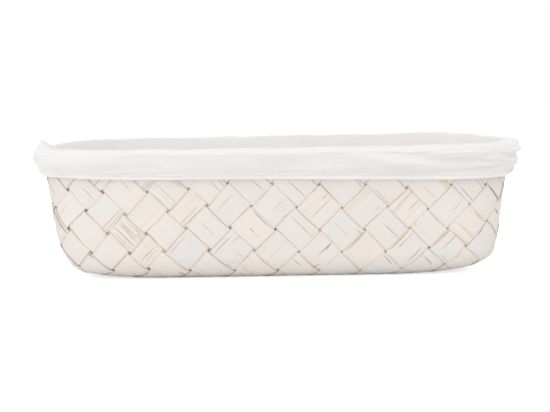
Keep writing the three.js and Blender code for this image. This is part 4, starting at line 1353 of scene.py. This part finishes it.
def slack_folds(stations, settings):
    """How far the cloth of the four sides moves from its smooth shape when it hangs slack between
    the floor seam and the rim, by a simulation of all four as one ring, set back against the
    weave."""
    around = np.concatenate([side[:-1] for side in stations])
    whole = cloth_skins(around, settings)[2]
    shift = np.zeros_like(whole)
    middle = whole[:, slice(*SLACK_ROWS)]
    moved = hung_cloth(middle, settings) - middle
    along = np.roll(middle, -1, axis=0) - np.roll(middle, 1, axis=0)
    normal = np.cross(along, np.gradient(middle, axis=1))
    normal /= np.linalg.norm(normal, axis=-1, keepdims=True)
    proud = (moved * normal).sum(axis=-1, keepdims=True)
    stands = FOLD_GAIN * (proud - np.percentile(proud, FOLD_SHARE, axis=0))
    moved += (np.clip(stands, -FOLD_LIMIT, 0) - proud) * normal
    moved[:, :HELD_ROWS] = moved[:, -HELD_ROWS:] = 0
    shift[:, slice(*SLACK_ROWS)] = moved
    ends = np.cumsum([len(side) - 1 for side in stations])
    starts = ends - [len(side) - 1 for side in stations]
    return [shift[np.arange(a, b + 1) % len(shift)] for a, b in zip(starts, ends)]


def side_cloth(name, around, moved, settings, material):
    """One side piece of the liner as a closed thin body, with the flat width and length and the
    area of its cloth in metres."""
    upper, lower, middle = (skin + moved for skin in cloth_skins(around, settings))
    rings = np.concatenate([upper, lower[:, ::-1]], axis=1)
    steps = np.linalg.norm(np.diff(middle, axis=1), axis=-1)
    along = np.concatenate([np.zeros((len(around), 1)), np.cumsum(steps, axis=1)], axis=1)
    width = np.linalg.norm(np.diff(middle, axis=0), axis=-1)
    area = float((steps[:-1] * (width[:, :-1] + width[:, 1:]) / 2).sum()) * MM * MM
    size = (float(width.sum(axis=0).max()) * MM, float(along[:, -1].max()) * MM)
    uv = np.stack([np.broadcast_to(around[:, None], along.shape), along], axis=-1)
    uvs = np.concatenate([uv, uv[:, ::-1] + 7], axis=1)
    faces = ring_faces(len(around), rings.shape[1])
    piece = mesh_piece(name, rings.reshape(-1, 3), faces, material, uvs.reshape(-1, 2))
    return piece, size, area


def stitch_row(low, high, settings):
    """The line of the hem's seam, on the outer face of one side piece."""
    around = np.linspace(low + 1.5, high - 1.5, int((high - low) / STITCH_STEP))
    line = SheetLine(around, settings)
    step = line.rows[SEAM_ROW + 1] - line.rows[SEAM_ROW - 1]
    side = sideways(step) * (line.half[SEAM_ROW] + 0.05)
    return section_points(around, (line.rows[SEAM_ROW] + side)[None])[:, 0]


def floor_cloth(name, settings, material):
    """The floor panel of the liner, flat in the middle, with soft waves, and its flat size and
    area in metres."""
    around = np.linspace(0, RING_LENGTH, FLOOR_SECTORS + 1)[:-1]
    count, height = FLOOR_SECTORS, CLOTH_FLOOR
    inset = np.full(count, -FLOOR_INSET - SEAM_GAP / 2)
    x, y, _, _ = level_point(around, inset, np.full(count, height))
    points, uvs = [], []
    for half in (settings.thickness / MM / 2, -settings.thickness / MM / 2):
        for ring in range(FLOOR_RINGS, 0, -1):
            share = ring / FLOOR_RINGS
            px, py = x * share, y * share
            lift = end_lift(px, np.full(count, height)) * share**2
            puffed = FLOOR_PUFF + 0.45 * ripple(px, py, 41, 70) + 0.2 * ripple(px, py, 44, 26)
            puffed = np.maximum(puffed, -0.1) * (1 - share**6)
            z = WEAVE_HALF_THICKNESS + height + lift + puffed + half
            points.append(np.stack([px, py, z], axis=-1))
            uvs.append(np.stack([px, py], axis=-1) + 900)
        z = WEAVE_HALF_THICKNESS + height + half
        z += FLOOR_PUFF + 0.45 * float(ripple(0.0, 0.0, 41, 70))
        points.append(np.array([[0, 0, z]]))
        uvs.append(np.array([[900.0, 900.0]]))
    skin = FLOOR_RINGS * count + 1
    faces = []
    for start in (0, skin):
        for ring in range(FLOOR_RINGS - 1):
            a, b = start + ring * count, start + (ring + 1) * count
            for i in range(count):
                j = (i + 1) % count
                faces.append((a + i, a + j, b + j, b + i))
        last = start + (FLOOR_RINGS - 1) * count
        faces += [(last + i, last + (i + 1) % count, start + skin - 1) for i in range(count)]
    faces += [(i, (i + 1) % count, skin + (i + 1) % count, skin + i) for i in range(count)]
    piece = mesh_piece(name, np.concatenate(points), faces, material, np.concatenate(uvs))
    size = (float(np.ptp(x)) * MM, float(np.ptp(y)) * MM)
    area = abs(float((x * np.roll(y, -1) - y * np.roll(x, -1)).sum())) / 2 * MM * MM
    return piece, size, area


# ---- Operators


class TRAY_OT_splints(bpy.types.Operator):
    """Replace the frame's splints with fine cupped strips in whitewashed bamboo"""

    bl_idname = "tray.splints"
    bl_label = "Make splints"

    def execute(self, context):
        settings = context.scene.tray.splints
        material = washed_bamboo(settings)
        tones = np.random.RandomState(TONE_SEED).uniform(size=40)
        for name, course, number in courses():
            points, faces, uvs, edge = strip_body(course, number, settings)
            values = {"edge": edge, "tone": np.full(len(points), tones[number])}
            piece = mesh_piece(f"strip_{name}", points, faces, material, uvs, values)
            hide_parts(f"splint_{name}")
            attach(piece, "root")
        return {"FINISHED"}


class TRAY_OT_split_lines(bpy.types.Operator):
    """Draw the cracks, split edges and raised fibres along the splints"""

    bl_idname = "tray.split_lines"
    bl_label = "Add split lines"

    def execute(self, context):
        tray = context.scene.tray
        rows, dark, radius = [], [], []
        for points, shade, size in split_lines(tray.splints, LINE_SEED):
            rows.append(points)
            dark += [shade] * len(points)
            taper = np.sin(np.linspace(0.12, math.pi - 0.12, len(points))) ** 0.6
            radius += (size * MM * taper).tolist()
        guide = guide_mesh("line_guide", rows, {"dark": dark, "radius": radius})
        growth = Growth("split_lines", Width=1.0)
        width = growth.math("MULTIPLY", growth.attribute("radius"), growth.given["Width"])
        growth.close(growth.tube(growth.guide_curve(), width, 5), raised_line())
        piece = growth.grow("split_lines", guide)
        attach(piece, "root")
        return {"FINISHED"}


class TRAY_OT_fibres(bpy.types.Operator):
    """Stand short loose fibres off the frayed edges of the splints"""

    bl_idname = "tray.fibres"
    bl_label = "Add loose fibres"

    def execute(self, context):
        tray = context.scene.tray
        points, headings, sizes = frayed_places(tray.splints, tray.fibres.seed)
        values = {"heading": headings, "size": sizes}
        guide = guide_mesh("fibre_guide", [[point] for point in points], values)
        growth = Growth("loose_fibres", Length=tray.fibres.length, Width=tray.fibres.width, Seed=3)
        bend = growth.node("GeometryNodeCurveQuadraticBezier", {
            "Resolution": 6, "Start": (0, 0, 0), "Middle": (0.45, 0, 0.02), "End": (1, 0.05, 0.22),
        })
        along = growth.node("GeometryNodeSplineParameter").outputs["Factor"]
        thin = growth.math("SUBTRACT", 1.15, along)
        share = growth.math("DIVIDE", growth.given["Width"], growth.given["Length"])
        hair = growth.tube(bend.outputs[0], growth.math("MULTIPLY", thin, share), 4)
        heading = growth.attribute("heading", "FLOAT_VECTOR")
        turned = growth.node("FunctionNodeAlignRotationToVector", {"Vector": heading}, axis="X")
        chance = growth.node("FunctionNodeRandomValue", {
            3: 6.28, "Seed": growth.given["Seed"],
        }, data_type="FLOAT")
        spin = growth.node("FunctionNodeAxisAngleToRotation", {
            "Axis": (1, 0, 0), "Angle": chance.outputs[1],
        })
        spun = growth.node("FunctionNodeRotateRotation", {
            "Rotation": turned.outputs[0], "Rotate By": spin.outputs[0],
        }, rotation_space="LOCAL")
        size = growth.math("MULTIPLY", growth.attribute("size"), growth.given["Length"])
        placed = growth.node("GeometryNodeInstanceOnPoints", {
            "Points": growth.given["Guide"], "Instance": hair, "Rotation": spun.outputs[0],
            "Scale": size,
        })
        growth.close(placed.outputs[0], loose_fibre())
        piece = growth.grow("loose_fibres", guide)
        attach(piece, "root")
        return {"FINISHED"}


class TRAY_OT_rim(bpy.types.Operator):
    """Give the hoops their bamboo and bind them with two turns of cane at each tie"""

    bl_idname = "tray.rim"
    bl_label = "Finish rim"

    def execute(self, context):
        hoops = plain_bamboo()
        for name in ("rim_hoop_outer", "rim_hoop_inner"):
            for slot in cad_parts[name].material_slots:
                slot.material = hoops
        growth = Growth("cane_turns", Radius=0.0003, Corner=0.001)
        bent = growth.node("GeometryNodeFilletCurve", {
            "Curve": growth.guide_curve(), "Radius": growth.given["Corner"], "Limit Radius": True,
            "Count": 3,
        }, mode="POLY")
        growth.close(growth.tube(bent.outputs[0], growth.given["Radius"], 8), split_cane())
        for number, (around, rise) in enumerate(tie_holes(), 1):
            guide = guide_mesh("tie_guide", [tie_path(around, rise)], {}, closed=True)
            piece = growth.grow(f"cane_turns_{number:02d}", guide)
            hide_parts(f"rim_tie_{number:02d}")
            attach(piece, "root")
        return {"FINISHED"}


class TRAY_OT_liner(bpy.types.Operator):
    """Lay the five sewn pieces of the cotton liner in the tray and over its rim"""

    bl_idname = "tray.liner"
    bl_label = "Make liner"

    def execute(self, context):
        settings = context.scene.tray.liner
        material = cotton_cloth(settings)
        back = RING_LENGTH / 2
        sides = {
            "front": (0, LONG_SIDE),
            "right": (LONG_SIDE, back),
            "back": (back, back + LONG_SIDE),
            "left": (back + LONG_SIDE, RING_LENGTH),
        }
        stitching = self.stitching(settings)
        stations = [side_stations(low, high) for low, high in sides.values()]
        folds = slack_folds(stations, settings)
        for (name, (low, high)), around, moved in zip(sides.items(), stations, folds):
            piece, size, area = side_cloth(f"cloth_{name}", around, moved, settings, material)
            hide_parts(f"liner_{name}")
            guide = guide_mesh("seam_guide", [stitch_row(low, high, settings)], {})
            stitches = stitching.grow(f"stitches_{name}", guide)
            for made in (piece, stitches):
                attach(made, "root")
        piece, size, area = floor_cloth("cloth_floor", settings, material)
        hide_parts("liner_floor")
        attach(piece, "root")
        return {"FINISHED"}

    @staticmethod
    def stitching(settings):
        """The tree that sets one stitch after another along a seam."""
        growth = Growth(
            "hem_stitches", Spacing=settings.stitch_spacing, Length=0.00085, Thread=0.00024
        )
        spaced = growth.node("GeometryNodeResampleCurve", {
            "Curve": growth.guide_curve(), "Length": growth.given["Spacing"],
        }, mode="LENGTH")
        bead = growth.node("GeometryNodeMeshUVSphere", {"Segments": 6, "Rings": 4, "Radius": 1.0})
        ahead = growth.node("GeometryNodeInputTangent").outputs[0]
        turned = growth.node("FunctionNodeAlignRotationToVector", {"Vector": ahead}, axis="X")
        size = growth.node("ShaderNodeCombineXYZ", {
            "X": growth.given["Length"], "Y": growth.given["Thread"], "Z": growth.given["Thread"],
        })
        placed = growth.node("GeometryNodeInstanceOnPoints", {
            "Points": spaced.outputs[0], "Instance": bead.outputs[0],
            "Rotation": turned.outputs[0], "Scale": size.outputs[0],
        })
        return growth.close(placed.outputs[0], cotton_thread())


class TRAY_OT_stage(bpy.types.Operator):
    """Set up the floor, the soft light and the camera"""

    bl_idname = "tray.stage"
    bl_label = "Set stage"

    def execute(self, context):
        scene = context.scene
        settings = scene.tray.stage
        scene.view_settings.view_transform = "Standard"
        self.make_floor()
        self.make_world(scene)
        for lamp in LAMPS:
            self.make_lamp(*lamp)
        self.make_camera(scene, settings)
        return {"FINISHED"}

    @staticmethod
    def make_floor():
        """A white floor that the camera sees a little brighter than it is lit."""
        mesh = bpy.data.meshes.new("floor")
        mesh.from_pydata([(-9, -9, 0), (9, -9, 0), (9, 9, 0), (-9, 9, 0)], [], [(0, 1, 2, 3)])
        material = bpy.data.materials.new("floor_white")
        material.use_nodes = True
        nodes = NodeTree(material.node_tree)
        nodes.tree.nodes.clear()
        plain = nodes.node("ShaderNodeBsdfDiffuse", {"Color": (0.95, 0.95, 0.95, 1)}).outputs[0]
        glow = nodes.node("ShaderNodeEmission", {"Color": (1, 1, 1, 1), "Strength": 0.66})
        white = nodes.node("ShaderNodeAddShader", {0: plain, 1: glow.outputs[0]})
        seen = nodes.node("ShaderNodeLightPath").outputs["Is Camera Ray"]
        both = nodes.node("ShaderNodeMixShader", {0: seen, 1: plain, 2: white.outputs[0]})
        nodes.node("ShaderNodeOutputMaterial", {"Surface": both.outputs[0]})
        mesh.materials.append(material)
        floor = add_object("floor", mesh)
        floor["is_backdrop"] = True

    @staticmethod
    def make_world(scene):
        """Even light from all sides, white to the camera and in reflections."""
        world = bpy.data.worlds.new("white_room")
        world.use_nodes = True
        nodes = NodeTree(world.node_tree)
        nodes.tree.nodes.clear()
        path = nodes.node("ShaderNodeLightPath").outputs
        seen = nodes.math("MAXIMUM", path["Is Camera Ray"], path["Is Glossy Ray"])
        light, white = (
            nodes.node("ShaderNodeBackground", {"Color": (1, 1, 1, 1), "Strength": strength})
            for strength in (0.80, 1.0)
        )
        both = {0: seen, 1: light.outputs[0], 2: white.outputs[0]}
        mixed = nodes.node("ShaderNodeMixShader", both)
        nodes.node("ShaderNodeOutputWorld", {"Surface": mixed.outputs[0]})
        scene.world = world

    @staticmethod
    def make_lamp(name, place, size, power):
        """A square lamp, turned to the tray."""
        light = bpy.data.lights.new(name, "AREA")
        light.size = size
        light.energy = power
        lamp = add_object(name, light)
        lamp.location = place
        lamp.rotation_euler = (LAMP_AIM - Vector(place)).to_track_quat("-Z", "Y").to_euler()

    @staticmethod
    def make_camera(scene, settings):
        """The photo's view: from in front, a little from above and rolled a little."""
        elevation, roll = settings.camera_elevation, settings.camera_roll
        back = Vector((0, -math.cos(elevation), math.sin(elevation)))
        right = Vector((1, 0, 0))
        up = back.cross(right)
        turned_right = math.cos(roll) * right + math.sin(roll) * up
        turned_up = -math.sin(roll) * right + math.cos(roll) * up
        turn = Matrix((turned_right, turned_up, back)).transposed()
        place = CAMERA_AIM + back * settings.camera_distance
        camera = add_object("camera", bpy.data.cameras.new("camera"))
        camera.matrix_world = Matrix.Translation(place) @ turn.to_4x4()
        camera.data.sensor_width = 36
        camera.data.lens = settings.lens
        camera.data.shift_x = (PHOTO_SIZE[0] / 2 - CAMERA_AXIS[0]) / PHOTO_SIZE[0]
        camera.data.shift_y = (CAMERA_AXIS[1] - PHOTO_SIZE[1] / 2) / PHOTO_SIZE[0]
        scene.camera = camera


class TRAY_PT_panel(bpy.types.Panel):
    bl_idname = "TRAY_PT_panel"
    bl_label = "Lined bamboo tray"
    bl_space_type = "VIEW_3D"
    bl_region_type = "UI"
    bl_category = "Tray"

    def draw(self, context):
        tray = context.scene.tray
        groups = (("Splints", tray.splints), ("Liner", tray.liner), ("Fibres", tray.fibres),
                  ("Stage", tray.stage))
        for title, group in groups:
            box = self.layout.box()
            box.label(text=title)
            for name in group.__annotations__:
                box.prop(group, name)
        for operator in OPERATORS:
            self.layout.operator(operator.bl_idname)


OPERATORS = (
    TRAY_OT_splints, TRAY_OT_split_lines, TRAY_OT_fibres, TRAY_OT_rim, TRAY_OT_liner,
    TRAY_OT_stage,
)
CLASSES = (
    SplintSettings, LinerSettings, FibreSettings, StageSettings, TraySettings, *OPERATORS,
    TRAY_PT_panel,
)


def register():
    for item in CLASSES:
        bpy.utils.register_class(item)
    bpy.types.Scene.tray = PointerProperty(type=TraySettings)


def unregister():
    del bpy.types.Scene.tray
    for item in reversed(CLASSES):
        bpy.utils.unregister_class(item)


def main():
    """Make everything in order."""
    register()
    bpy.ops.tray.splints()
    bpy.ops.tray.split_lines()
    bpy.ops.tray.fibres()
    bpy.ops.tray.rim()
    bpy.ops.tray.liner()
    bpy.ops.tray.stage()
    boxes = {"cad": frame_bounds, "visual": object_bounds()}
    plain = {name: [list(corner) for corner in box] for name, box in boxes.items()}


if __name__ == "__main__":
    main()
